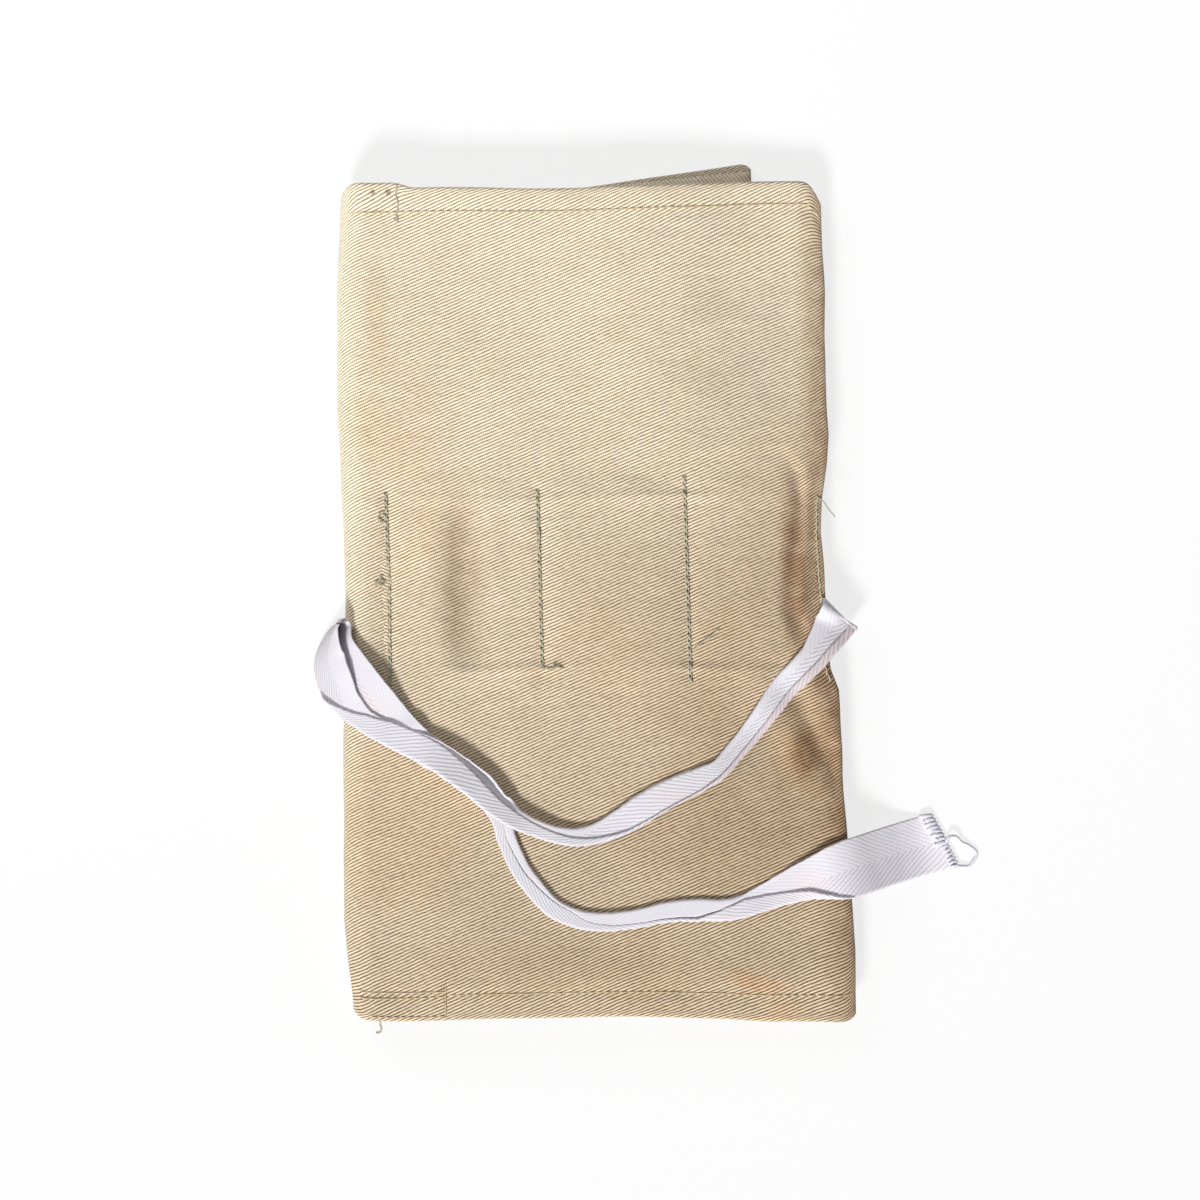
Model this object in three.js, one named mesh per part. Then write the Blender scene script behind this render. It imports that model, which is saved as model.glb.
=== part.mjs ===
// A canvas holdall for cutlery or a shaving kit, folded in three and tied with a cotton tape.
// Millimetres, +Z up. It lies on the table with its outer face up and its folds left and right.
import * as THREE from "three";

// Cloth bundle, seen from above
const LEFT_CREST = -81.2; // outermost line of the left fold, at mid length
const RIGHT_CREST = 79.1; // outermost line of the right fold, at mid length
const TOP_EDGE = 131;
const BOTTOM_EDGE = -138;
const LEFT_LEAN = -0.0155; // sideways drift of the left fold for each mm up the bundle
const RIGHT_LEAN = -0.03;

// Layers, from the table up
const CLOTH = 1;
const BAND_CLOTH = 0.8;
const POCKET_SPACE = 4.6;
const LOOP_SPACE = 5;
const HEM_LAYER = 1.2;
const THREAD = 0.3; // how far a row of stitches stands off the cloth
const LAYER_PLAY = 0.35; // free space between two things that lie on each other

// Hems and stitching
const HEM_WIDTH = 9;
const STITCH_WIDTH = 0.7;
const STITCH_INSET = 8; // from the cloth's edge to its hem stitching
const STITCH_END = 2.5; // hem stitching stops this far from a cloth's corner

// Pocket on the outer flap
const POCKET_LENGTH = 126; // from the left fold's start to the flap's free end
const POCKET_MOUTH_SETBACK = 7; // from the left fold's start to the pocket's mouth
const CORNER_RISE = 7; // the flap's free corner lies this far above the top edge
const CORNER_RUN = 38; // over this length next to the free end
const SEAM_WIDTH = 8;

// Cover flap inside the right fold
const COVER_LENGTH = 66;

// Loops between the stitch rows
const ROW_SETBACK = 1.4; // outer stitch rows, from the start of the right fold
const LEFT_LOOP = 49.1;
const MIDDLE_LOOP = 47.6;
const RIGHT_LOOP = 42.4;
const LOOP_TOP = 38;
const LOOP_BOTTOM = -29;
const LOOP_TAB = 2.2; // sewn-down edge of a loop
const LOOP_RAMP = 3.5; // sideways run of a loop's slanted wall
const LOOP_GAP = 0.4; // between neighbouring loops at their shared stitch row

// Corner tacks on the front
const TACK_TOP = { fromLeft: 16.5, length: 11 };
const TACK_BOTTOM = { fromLeft: 4.5, width: 28, height: 9, bar: 0.8 };
const TAIL = { fromTack: 6, thread: 0.6, points: [[0, 0], [0.8, -2], [0.9, -4], [-0.3, -4.8]] };

// Folds
const ARC_STEPS = 6;
const FOLD_SPLIT = 0.3; // between the two halves of a fold, at its crest

// Tie tape
const TAPE_WIDTH = 19;
const TAPE_Y = -5; // middle of the sewn end
const TAPE_CLOTH = 0.8;
const TAPE_FOLDED = 1.8; // thickness where the tape lies folded lengthwise
const TAPE_CUT = 0.3; // between two stretches of the tape
const STEPS_PER_POINT = 2;
const OVERCAST_TURNS = 8;
const OVERCAST_THREAD = 0.6;
const OVERCAST_REACH = [0.9, 3]; // from the tape's end, at the two ends of each stitch
const OVERCAST_SIDE = 1; // from the tape's sides
// Loose loop of thread at the tape's end: along the tape and across it, from the end's middle
const LOOSE_LOOP = [
  [0.6, 0],
  [2.5, -1.6],
  [5, -1],
  [7.5, 1.2],
  [9.5, 3.4],
  [9.6, 5.6],
  [7, 7.4],
  [3.2, 7.8],
  [0.6, 7.4],
];

// Colours
const CANVAS = 0xcdb48c;
const CANVAS_INSIDE = 0xc3ab85;
const THREAD_COLOUR = 0x98917a;
const TAPE_COLOUR = 0xe8e4e6;

// Heights worked out from the layers
const POCKET_FRONT_Z = CLOTH + POCKET_SPACE;
const POCKET_TOP_Z = POCKET_FRONT_Z + CLOTH;
const COVER_Z = POCKET_TOP_Z + 2 * THREAD + LAYER_PLAY;
const COVER_TOP_Z = COVER_Z + CLOTH;
const LOOP_Z = COVER_TOP_Z + HEM_LAYER + LAYER_PLAY;
const CENTRE_Z = LOOP_Z + BAND_CLOTH + LOOP_SPACE;
const CENTRE_TOP_Z = CENTRE_Z + CLOTH;

// Folds worked out from the heights: each joins two layers by half a circle
const LEFT_RADIUS = CENTRE_TOP_Z / 2;
const RIGHT_RADIUS = (CENTRE_TOP_Z - COVER_Z) / 2;
const LEFT_START = LEFT_CREST + LEFT_RADIUS;
const RIGHT_START = RIGHT_CREST - RIGHT_RADIUS;

// Ends of the flaps and places of the stitch rows
const POCKET_END = LEFT_START + POCKET_LENGTH;
const POCKET_MOUTH = LEFT_START + POCKET_MOUTH_SETBACK;
const COVER_END = RIGHT_START - COVER_LENGTH;
const ROW_4 = RIGHT_START - ROW_SETBACK;
const ROW_3 = ROW_4 - RIGHT_LOOP;
const ROW_2 = ROW_3 - MIDDLE_LOOP;
const ROW_1 = ROW_2 - LEFT_LOOP;

const part = new THREE.Group();

// The folds are not quite square to the hems, so each point drifts sideways with its y.
function lean(geometry) {
  const points = geometry.attributes.position;
  for (let i = 0; i < points.count; i += 1) {
    const x = points.getX(i);
    const share = (x - LEFT_CREST) / (RIGHT_CREST - LEFT_CREST);
    const drift = LEFT_LEAN + (RIGHT_LEAN - LEFT_LEAN) * share;
    points.setX(i, x + points.getY(i) * drift);
  }
  return geometry;
}

// Adds one named piece with its own material.
function add(name, geometry, color, roughness = 0.95) {
  const material = new THREE.MeshStandardMaterial({ color, roughness, metalness: 0 });
  const mesh = new THREE.Mesh(geometry, material);
  mesh.name = name;
  part.add(mesh);
}

// A flat layer: an outline seen from above, between two heights.
function layer(outline, low, high) {
  const shape = new THREE.Shape(outline.map(([x, y]) => new THREE.Vector2(x, y)));
  const made = new THREE.ExtrudeGeometry(shape, { depth: high - low, bevelEnabled: false });
  made.translate(0, 0, low);
  return lean(made);
}

// A rectangle of cloth or thread, seen from above.
function patch(left, bottom, right, top) {
  return [[left, bottom], [right, bottom], [right, top], [left, top]];
}

// A piece with one cross-section along y: the section is drawn in x and z.
function alongY(section, bottom, top) {
  const shape = new THREE.Shape(section.map(([x, z]) => new THREE.Vector2(x, z)));
  const made = new THREE.ExtrudeGeometry(shape, { depth: top - bottom, bevelEnabled: false });
  made.rotateX(Math.PI / 2);
  made.translate(0, top, 0);
  return lean(made);
}

// Quarter of a cloth fold: a curved strip about (x, z), from one angle to another.
function quarterFold(x, z, outer, from, to) {
  const section = [];
  for (const [radius, start, end] of [[outer, from, to], [outer - CLOTH, to, from]]) {
    for (let i = 0; i <= ARC_STEPS; i += 1) {
      const angle = start + ((end - start) * i) / ARC_STEPS;
      section.push([x + radius * Math.cos(angle), z + radius * Math.sin(angle)]);
    }
  }
  return alongY(section, BOTTOM_EDGE, TOP_EDGE);
}

// The angle that half of the split at a crest takes from a fold of this radius.
function splitAngle(radius) {
  return FOLD_SPLIT / 2 / radius;
}

// How far the outer flap's edges lie above the bundle's own edges at this x.
function rise(x) {
  return (CORNER_RISE * Math.max(0, x - POCKET_END + CORNER_RUN)) / CORNER_RUN;
}

// Outline of a strip along the outer flap, whose edges rise towards its free corner.
function flapStrip(left, bottom, right, top) {
  const turn = Math.min(Math.max(POCKET_END - CORNER_RUN, left), right);
  const stops = [...new Set([left, turn, right])];
  const lower = stops.map((x) => [x, bottom + rise(x)]);
  const upper = stops.map((x) => [x, top + rise(x)]).reverse();
  return [...lower, ...upper];
}

// Outer flap with its pocket: the layer that lies on the table.
function addPocket() {
  const back = flapStrip(LEFT_START, BOTTOM_EDGE, POCKET_END, TOP_EDGE);
  const front = flapStrip(POCKET_MOUTH, BOTTOM_EDGE, POCKET_END, TOP_EDGE);
  add("pocket_back", layer(back, 0, CLOTH), CANVAS);
  add("pocket_front", layer(front, POCKET_FRONT_Z, POCKET_TOP_Z), CANVAS_INSIDE);
  const seamEnd = POCKET_END - SEAM_WIDTH - TAPE_CUT;
  const topSeam = flapStrip(POCKET_MOUTH, TOP_EDGE - SEAM_WIDTH, seamEnd, TOP_EDGE);
  const bottomSeam = flapStrip(POCKET_MOUTH, BOTTOM_EDGE, seamEnd, BOTTOM_EDGE + SEAM_WIDTH);
  add("pocket_top_seam", layer(topSeam, CLOTH, POCKET_FRONT_Z), CANVAS_INSIDE);
  add("pocket_bottom_seam", layer(bottomSeam, CLOTH, POCKET_FRONT_Z), CANVAS_INSIDE);
  const end = flapStrip(POCKET_END - SEAM_WIDTH, BOTTOM_EDGE, POCKET_END, TOP_EDGE);
  const tapeSlot = TAPE_CLOTH + 2 * TAPE_CUT;
  const hem = (POCKET_SPACE - tapeSlot) / 2;
  add("pocket_back_end_hem", layer(end, CLOTH, CLOTH + hem), CANVAS_INSIDE);
  add("pocket_front_end_hem", layer(end, POCKET_FRONT_Z - hem, POCKET_FRONT_Z), CANVAS_INSIDE);
  const mouthBottom = BOTTOM_EDGE + SEAM_WIDTH + TAPE_CUT;
  const mouthTop = TOP_EDGE - SEAM_WIDTH - TAPE_CUT;
  const mouth = patch(POCKET_MOUTH, mouthBottom, POCKET_MOUTH + HEM_WIDTH, mouthTop);
  const mouthHem = layer(mouth, POCKET_TOP_Z, POCKET_TOP_Z + BAND_CLOTH);
  add("pocket_mouth_hem", mouthHem, CANVAS_INSIDE);
  const fold = [LEFT_START, LEFT_RADIUS, LEFT_RADIUS];
  const crest = Math.PI + splitAngle(LEFT_RADIUS);
  add("left_fold_lower", quarterFold(...fold, crest, Math.PI * 1.5), CANVAS);
}

// Rows of thread on the pocket's inner cloth.
function addPocketStitches() {
  const low = POCKET_TOP_Z;
  const high = POCKET_TOP_Z + THREAD;
  const start = POCKET_MOUTH + STITCH_INSET + STITCH_WIDTH;
  const end = POCKET_END - STITCH_INSET;
  const bottom = BOTTOM_EDGE + STITCH_INSET;
  const top = TOP_EDGE - STITCH_INSET;
  const rows = {
    pocket_top_stitching: flapStrip(start + HEM_WIDTH, top, end, top + STITCH_WIDTH),
    pocket_bottom_stitching: flapStrip(start + HEM_WIDTH, bottom - STITCH_WIDTH, end, bottom),
    pocket_end_stitching: flapStrip(end + STITCH_WIDTH, bottom, end + 2 * STITCH_WIDTH, top),
  };
  for (const [name, outline] of Object.entries(rows)) {
    add(name, layer(outline, low, high), THREAD_COLOUR);
  }
  const onHem = low + BAND_CLOTH;
  const mouthBottom = bottom + STITCH_INSET;
  const mouthTop = top - STITCH_INSET;
  const mouth = patch(start - 2 * STITCH_WIDTH, mouthBottom, start - STITCH_WIDTH, mouthTop);
  add("pocket_mouth_stitching", layer(mouth, onHem, onHem + THREAD), THREAD_COLOUR);
  const tackLeft = end + 3 * STITCH_WIDTH;
  const tackRight = POCKET_END - STITCH_WIDTH;
  const half = TAPE_WIDTH / 2 - STITCH_WIDTH;
  const tack = [
    [tackLeft, TAPE_Y - half],
    [tackRight, TAPE_Y - half],
    [tackRight, TAPE_Y + half],
    [tackLeft, TAPE_Y + half],
    [tackLeft, TAPE_Y + half - STITCH_WIDTH],
    [tackRight - STITCH_WIDTH, TAPE_Y + half - STITCH_WIDTH],
    [tackRight - STITCH_WIDTH, TAPE_Y - half + STITCH_WIDTH],
    [tackLeft, TAPE_Y - half + STITCH_WIDTH],
  ];
  add("tape_tack", layer(tack, low, high), THREAD_COLOUR);
}

// Centre panel: the visible face, its two halves of the folds and its turned hems.
function addCentre() {
  const face = patch(LEFT_START, BOTTOM_EDGE, RIGHT_START, TOP_EDGE);
  add("centre_panel", layer(face, CENTRE_Z, CENTRE_TOP_Z), CANVAS);
  const leftFold = [LEFT_START, LEFT_RADIUS, LEFT_RADIUS];
  const leftCrest = Math.PI - splitAngle(LEFT_RADIUS);
  add("left_fold_upper", quarterFold(...leftFold, Math.PI / 2, leftCrest), CANVAS);
  const rightFold = [RIGHT_START, COVER_Z + RIGHT_RADIUS, RIGHT_RADIUS];
  const rightCrest = splitAngle(RIGHT_RADIUS);
  add("right_fold_upper", quarterFold(...rightFold, rightCrest, Math.PI / 2), CANVAS);
  const topHem = patch(LEFT_START, TOP_EDGE - HEM_WIDTH, RIGHT_START, TOP_EDGE);
  const bottomHem = patch(LEFT_START, BOTTOM_EDGE, RIGHT_START, BOTTOM_EDGE + HEM_WIDTH);
  add("centre_top_hem", layer(topHem, CENTRE_Z - HEM_LAYER, CENTRE_Z), CANVAS_INSIDE);
  add("centre_bottom_hem", layer(bottomHem, CENTRE_Z - HEM_LAYER, CENTRE_Z), CANVAS_INSIDE);
}

// One loop of the inner band, open at its top and bottom ends.
function loop(left, right) {
  const a = left + LOOP_GAP / 2;
  const b = right - LOOP_GAP / 2;
  const roof = LOOP_Z + BAND_CLOTH;
  const tab = CENTRE_Z - BAND_CLOTH;
  const section = [
    [a, CENTRE_Z],
    [a, tab],
    [a + LOOP_TAB, tab],
    [a + LOOP_TAB + LOOP_RAMP, LOOP_Z],
    [b - LOOP_TAB - LOOP_RAMP, LOOP_Z],
    [b - LOOP_TAB, tab],
    [b, tab],
    [b, CENTRE_Z],
    [b - LOOP_TAB, CENTRE_Z],
    [b - LOOP_TAB - LOOP_RAMP, roof],
    [a + LOOP_TAB + LOOP_RAMP, roof],
    [a + LOOP_TAB, CENTRE_Z],
  ];
  return alongY(section, LOOP_BOTTOM, LOOP_TOP);
}

// The band's three loops and the four rows of thread that hold them.
function addLoops() {
  add("loop_left", loop(ROW_1, ROW_2), CANVAS_INSIDE);
  add("loop_middle", loop(ROW_2, ROW_3), CANVAS_INSIDE);
  add("loop_right", loop(ROW_3, ROW_4), CANVAS_INSIDE);
  [ROW_1, ROW_2, ROW_3, ROW_4].forEach((x, i) => {
    const row = patch(x - STITCH_WIDTH / 2, LOOP_BOTTOM, x + STITCH_WIDTH / 2, LOOP_TOP);
    add(`loop_stitching_${i + 1}`, layer(row, CENTRE_TOP_Z, CENTRE_TOP_Z + THREAD), THREAD_COLOUR);
  });
}

// Hem stitching, corner tacks and a loose thread on the visible face.
function addCentreStitches() {
  const low = CENTRE_TOP_Z;
  const high = CENTRE_TOP_Z + THREAD;
  const topRow = TOP_EDGE - STITCH_INSET;
  const bottomRow = BOTTOM_EDGE + STITCH_INSET;
  const tackLeft = LEFT_START + TACK_BOTTOM.fromLeft;
  const tackRight = tackLeft + TACK_BOTTOM.width;
  const barLeft = LEFT_START + TACK_TOP.fromLeft;
  const barRight = barLeft + STITCH_WIDTH;
  const right = RIGHT_START - STITCH_END;
  const topStitch = patch(barRight + STITCH_WIDTH, topRow, right, topRow + STITCH_WIDTH);
  add("top_hem_stitching", layer(topStitch, low, high), THREAD_COLOUR);
  const bottomStitch = patch(tackRight + STITCH_WIDTH, bottomRow - STITCH_WIDTH, right, bottomRow);
  add("bottom_hem_stitching", layer(bottomStitch, low, high), THREAD_COLOUR);
  const bar = patch(barLeft, TOP_EDGE - STITCH_END - TACK_TOP.length, barRight, TOP_EDGE - STITCH_END);
  add("corner_tack_top", layer(bar, low, high), THREAD_COLOUR);
  const foot = BOTTOM_EDGE + STITCH_WIDTH;
  const head = foot + TACK_BOTTOM.height;
  const { bar: thread } = TACK_BOTTOM;
  const tack = [
    [tackLeft, foot],
    [tackRight, foot],
    [tackRight, head],
    [tackLeft, head],
    [tackLeft, head - thread],
    [tackRight - thread, head - thread],
    [tackRight - thread, foot + thread],
    [tackLeft, foot + thread],
  ];
  add("corner_tack_bottom", layer(tack, low, high), THREAD_COLOUR);
  const tailX = tackLeft + TAIL.fromTack;
  const tailZ = low + TAIL.thread / 2;
  const tail = TAIL.points.map(([x, y]) => new THREE.Vector3(tailX + x, foot - TAIL.thread + y, tailZ));
  const up = new THREE.Vector3(0, 0, 1);
  add("hem_thread_tail", threadThrough(tail, TAIL.thread, up), THREAD_COLOUR);
}

// Short flap inside the right fold, which covers the ends of what the loops hold.
function addCover() {
  const face = patch(COVER_END, BOTTOM_EDGE, RIGHT_START, TOP_EDGE);
  add("cover_flap", layer(face, COVER_Z, COVER_TOP_Z), CANVAS);
  const fold = [RIGHT_START, COVER_Z + RIGHT_RADIUS, RIGHT_RADIUS];
  const crest = -splitAngle(RIGHT_RADIUS);
  add("right_fold_lower", quarterFold(...fold, -Math.PI / 2, crest), CANVAS);
  const topHem = patch(COVER_END, TOP_EDGE - HEM_WIDTH, RIGHT_START, TOP_EDGE);
  const bottomHem = patch(COVER_END, BOTTOM_EDGE, RIGHT_START, BOTTOM_EDGE + HEM_WIDTH);
  const hemTop = COVER_TOP_Z + HEM_LAYER;
  add("cover_top_hem", layer(topHem, COVER_TOP_Z, hemTop), CANVAS_INSIDE);
  add("cover_bottom_hem", layer(bottomHem, COVER_TOP_Z, hemTop), CANVAS_INSIDE);
  const endBottom = BOTTOM_EDGE + HEM_WIDTH + TAPE_CUT;
  const endTop = TOP_EDGE - HEM_WIDTH - TAPE_CUT;
  const endHem = patch(COVER_END, endBottom, COVER_END + HEM_WIDTH, endTop);
  add("cover_end_hem", layer(endHem, COVER_TOP_Z, hemTop), CANVAS_INSIDE);
  const right = RIGHT_START - STITCH_END;
  const left = COVER_END + STITCH_INSET;
  const bottom = BOTTOM_EDGE + STITCH_INSET;
  const top = TOP_EDGE - STITCH_INSET;
  const rows = {
    cover_top_stitching: patch(left, top, right, top + STITCH_WIDTH),
    cover_bottom_stitching: patch(left, bottom - STITCH_WIDTH, right, bottom),
    cover_end_stitching: patch(left - 2 * STITCH_WIDTH, bottom, left - STITCH_WIDTH, top),
  };
  for (const [name, outline] of Object.entries(rows)) {
    add(name, layer(outline, COVER_Z - THREAD, COVER_Z), THREAD_COLOUR);
  }
}

// The tape's route, from its sewn end to its free end: x, y, z, visible width, thickness.
const TAPE_Z = (CLOTH + POCKET_FRONT_Z) / 2; // where the end seam holds the tape
const LAID_Z = CENTRE_TOP_Z + THREAD + LAYER_PLAY + TAPE_FOLDED / 2;
const OVER_Z = LAID_Z + TAPE_FOLDED + LAYER_PLAY;
const DROP_Z = 2; // the free end hangs down to just above the table
const SEWN_X = POCKET_END - SEAM_WIDTH + STITCH_WIDTH;
const WRAP_X = RIGHT_CREST + 4;
const TAPE_ROUTE = [
  [SEWN_X, TAPE_Y, TAPE_Z, TAPE_WIDTH, TAPE_CLOTH],
  [POCKET_END + 3, TAPE_Y, TAPE_Z, TAPE_WIDTH, TAPE_CLOTH],
  [RIGHT_START - 8, TAPE_Y, TAPE_Z, TAPE_WIDTH, TAPE_CLOTH],
  [RIGHT_CREST - 1.5, -5.5, TAPE_Z + 1, 18, TAPE_CLOTH],
  [WRAP_X - 0.6, -6.5, COVER_Z + 1.2, 17, TAPE_CLOTH],
  [WRAP_X, -8.5, (COVER_Z + CENTRE_TOP_Z) / 2, 16, 1],
  [WRAP_X - 1.3, -11, CENTRE_TOP_Z - 1, 14, 1.4],
  [RIGHT_CREST - 1.5, -14.5, LAID_Z - 0.2, 11, TAPE_FOLDED],
  [71.4, -19.6, LAID_Z, 9, TAPE_FOLDED],
  [63.3, -27.7, LAID_Z, 8.5, TAPE_FOLDED],
  [55.3, -37.4, LAID_Z, 8, TAPE_FOLDED],
  [47.2, -48.6, LAID_Z, 7.5, TAPE_FOLDED],
  [39.2, -56.7, LAID_Z, 7, TAPE_FOLDED],
  [31.1, -61.5, LAID_Z, 8.5, TAPE_FOLDED],
  [21.5, -66.3, LAID_Z, 11, TAPE_FOLDED],
  [11.8, -72.2, LAID_Z, 9, TAPE_FOLDED],
  [2.2, -76.6, LAID_Z, 6, TAPE_FOLDED],
  [-7.5, -77.2, LAID_Z + 0.4, 6, TAPE_FOLDED],
  [-17.2, -74.2, OVER_Z - 0.4, 7, TAPE_FOLDED],
  [-26.8, -68.2, OVER_Z, 10, TAPE_FOLDED],
  [-33.8, -63.1, OVER_Z, 13, TAPE_FOLDED],
  [-42.9, -56.9, OVER_Z, 12, TAPE_FOLDED],
  [-52.6, -50.6, OVER_Z, 9, TAPE_FOLDED],
  [-62.2, -45.8, OVER_Z, 8, TAPE_FOLDED],
  [-71.9, -41.6, OVER_Z - 1, 8.5, TAPE_FOLDED],
  [-79.6, -37, LAID_Z + 0.6, 10, TAPE_FOLDED],
  [-84, -31, LAID_Z, 10.5, TAPE_FOLDED],
  [-85.4, -23.5, LAID_Z - 0.6, 9.5, TAPE_FOLDED],
  [-83.6, -15.5, LAID_Z - 0.8, 8, TAPE_FOLDED],
  [-79.3, -11.4, LAID_Z - 0.6, 6.5, TAPE_FOLDED],
  [-74.6, -14.4, LAID_Z, 6.5, TAPE_FOLDED],
  [-70.2, -22.5, LAID_Z, 7.5, TAPE_FOLDED],
  [-63.9, -32.5, LAID_Z, 8, TAPE_FOLDED],
  [-55.8, -42.2, LAID_Z, 8, TAPE_FOLDED],
  [-47.5, -50.5, LAID_Z, 8, TAPE_FOLDED],
  [-39.7, -57.8, LAID_Z, 7.5, TAPE_FOLDED],
  [-33.2, -66.3, LAID_Z, 7, TAPE_FOLDED],
  [-30, -74.4, LAID_Z, 6.5, TAPE_FOLDED],
  [-27.5, -82.4, LAID_Z, 7, TAPE_FOLDED],
  [-23, -91.6, LAID_Z, 8, TAPE_FOLDED],
  [-15.6, -99.6, LAID_Z, 8, TAPE_FOLDED],
  [-7.5, -104, LAID_Z, 7.5, TAPE_FOLDED],
  [2.2, -105.9, LAID_Z, 7, TAPE_FOLDED],
  [15, -105.2, LAID_Z, 7.5, TAPE_FOLDED],
  [31.1, -102.2, LAID_Z, 8, TAPE_FOLDED],
  [47.2, -98.8, LAID_Z, 8.5, TAPE_FOLDED],
  [63.3, -94.5, LAID_Z, 10, TAPE_FOLDED],
  [76.2, -88.8, LAID_Z - 0.3, 13, 1.4],
  [86, -85.2, LAID_Z - 2.2, 16, 1],
  [94, -83.3, LAID_Z - 7, 18.5, TAPE_CLOTH],
  [101, -82.2, DROP_Z + 5, TAPE_WIDTH, TAPE_CLOTH],
  [107.5, -81.6, DROP_Z + 1.2, TAPE_WIDTH, TAPE_CLOTH],
  [113.3, -81.2, DROP_Z, TAPE_WIDTH, TAPE_CLOTH],
];

// Names of the tape's stretches and the route point at which each one ends
const TAPE_STRETCHES = [
  ["tape_sewn_end", 1],
  ["tape_wrap", 8],
  ["tape_upper_strand", 24],
  ["tape_turn", 32],
  ["tape_lower_strand", 47],
  ["tape_free_end", TAPE_ROUTE.length - 1],
];
const TAPE_WRAP_END = 8; // up to here the tape's width lies along y, after it along the cloth

const tapeCurve = new THREE.CatmullRomCurve3(TAPE_ROUTE.map(([x, y, z]) => new THREE.Vector3(x, y, z)));

// The tape's middle, directions and size at a place along its list of points.
function tapeAt(place) {
  const last = TAPE_ROUTE.length - 1;
  const share = Math.min(Math.max(place / last, 0), 1);
  const middle = tapeCurve.getPoint(share);
  const along = tapeCurve.getTangent(share);
  const across = new THREE.Vector3(along.y, -along.x, 0);
  if (place <= TAPE_WRAP_END) {
    across.set(0, 1, 0).addScaledVector(along, -along.y);
  }
  across.normalize();
  const normal = new THREE.Vector3().crossVectors(along, across);
  const before = Math.min(Math.floor(place), last - 1);
  const mix = (i) => THREE.MathUtils.lerp(TAPE_ROUTE[before][i], TAPE_ROUTE[before + 1][i], place - before);
  return { middle, along, across, normal, width: mix(3), thickness: mix(4) };
}

// A closed strip through four-cornered rings, capped at both ends.
function stripThrough(rings) {
  const points = rings.flat().flatMap((corner) => [corner.x, corner.y, corner.z]);
  const faces = [];
  for (let ring = 0; ring + 1 < rings.length; ring += 1) {
    for (let side = 0; side < 4; side += 1) {
      const a = ring * 4 + side;
      const b = ring * 4 + ((side + 1) % 4);
      faces.push(a, b, b + 4, a, b + 4, a + 4);
    }
  }
  const end = (rings.length - 1) * 4;
  faces.push(0, 3, 2, 0, 2, 1, end, end + 1, end + 2, end, end + 2, end + 3);
  const made = new THREE.BufferGeometry();
  made.setAttribute("position", new THREE.Float32BufferAttribute(points, 3));
  made.setIndex(faces);
  return made;
}

// The four corners of a strip's section, in order round the direction of travel.
function corners(middle, across, normal, width, thickness) {
  const halves = [[-1, -1], [1, -1], [1, 1], [-1, 1]];
  return halves.map(([a, b]) => middle.clone()
    .addScaledVector(across, (a * width) / 2)
    .addScaledVector(normal, (b * thickness) / 2));
}

// The tie tape, in stretches that meet end to end.
function addTape() {
  let start = 0;
  for (const [name, end] of TAPE_STRETCHES) {
    const rings = [];
    const steps = (end - start) * STEPS_PER_POINT;
    for (let i = 0; i <= steps; i += 1) {
      const at = tapeAt(start + ((end - start) * i) / steps);
      if (i === 0 && start > 0) at.middle.addScaledVector(at.along, TAPE_CUT / 2);
      if (i === steps) at.middle.addScaledVector(at.along, -TAPE_CUT / 2);
      rings.push(corners(at.middle, at.across, at.normal, at.width, at.thickness));
    }
    add(name, stripThrough(rings), TAPE_COLOUR);
    start = end;
  }
}

// A thread of square section through a list of points, lying flat.
function threadThrough(points, size, up) {
  const curve = new THREE.CatmullRomCurve3(points, false, "catmullrom", 0);
  const rings = points.map((point, i) => {
    const along = curve.getTangent(i / (points.length - 1));
    const across = new THREE.Vector3().crossVectors(along, up).normalize();
    const normal = new THREE.Vector3().crossVectors(along, across);
    return corners(point, across, normal, size, size);
  });
  return stripThrough(rings);
}

// Overcast stitching on the tape's free end, and the loop of thread left hanging from it.
function addTapeThreads() {
  const tip = tapeAt(TAPE_ROUTE.length - 1);
  const up = tip.normal.clone().negate();
  const place = (along, across, height) => tip.middle.clone()
    .addScaledVector(tip.along, along)
    .addScaledVector(tip.across, across)
    .addScaledVector(up, height);
  const lift = (TAPE_CLOTH + OVERCAST_THREAD) / 2;
  const zigzag = [];
  for (let i = 0; i <= 2 * OVERCAST_TURNS; i += 1) {
    const across = (TAPE_WIDTH / 2 - OVERCAST_SIDE) * (1 - i / OVERCAST_TURNS);
    zigzag.push(place(-OVERCAST_REACH[i % 2], across, lift));
  }
  add("tape_overcasting", threadThrough(zigzag, OVERCAST_THREAD, up), TAPE_COLOUR);
  const loopThread = LOOSE_LOOP.map(([along, across]) => place(along, across, 0));
  add("tape_thread_loop", threadThrough(loopThread, OVERCAST_THREAD, up), TAPE_COLOUR);
}

addPocket();
addPocketStitches();
addCentre();
addLoops();
addCentreStitches();
addCover();
addTape();
addTapeThreads();

export default part;
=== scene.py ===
import math

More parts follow.
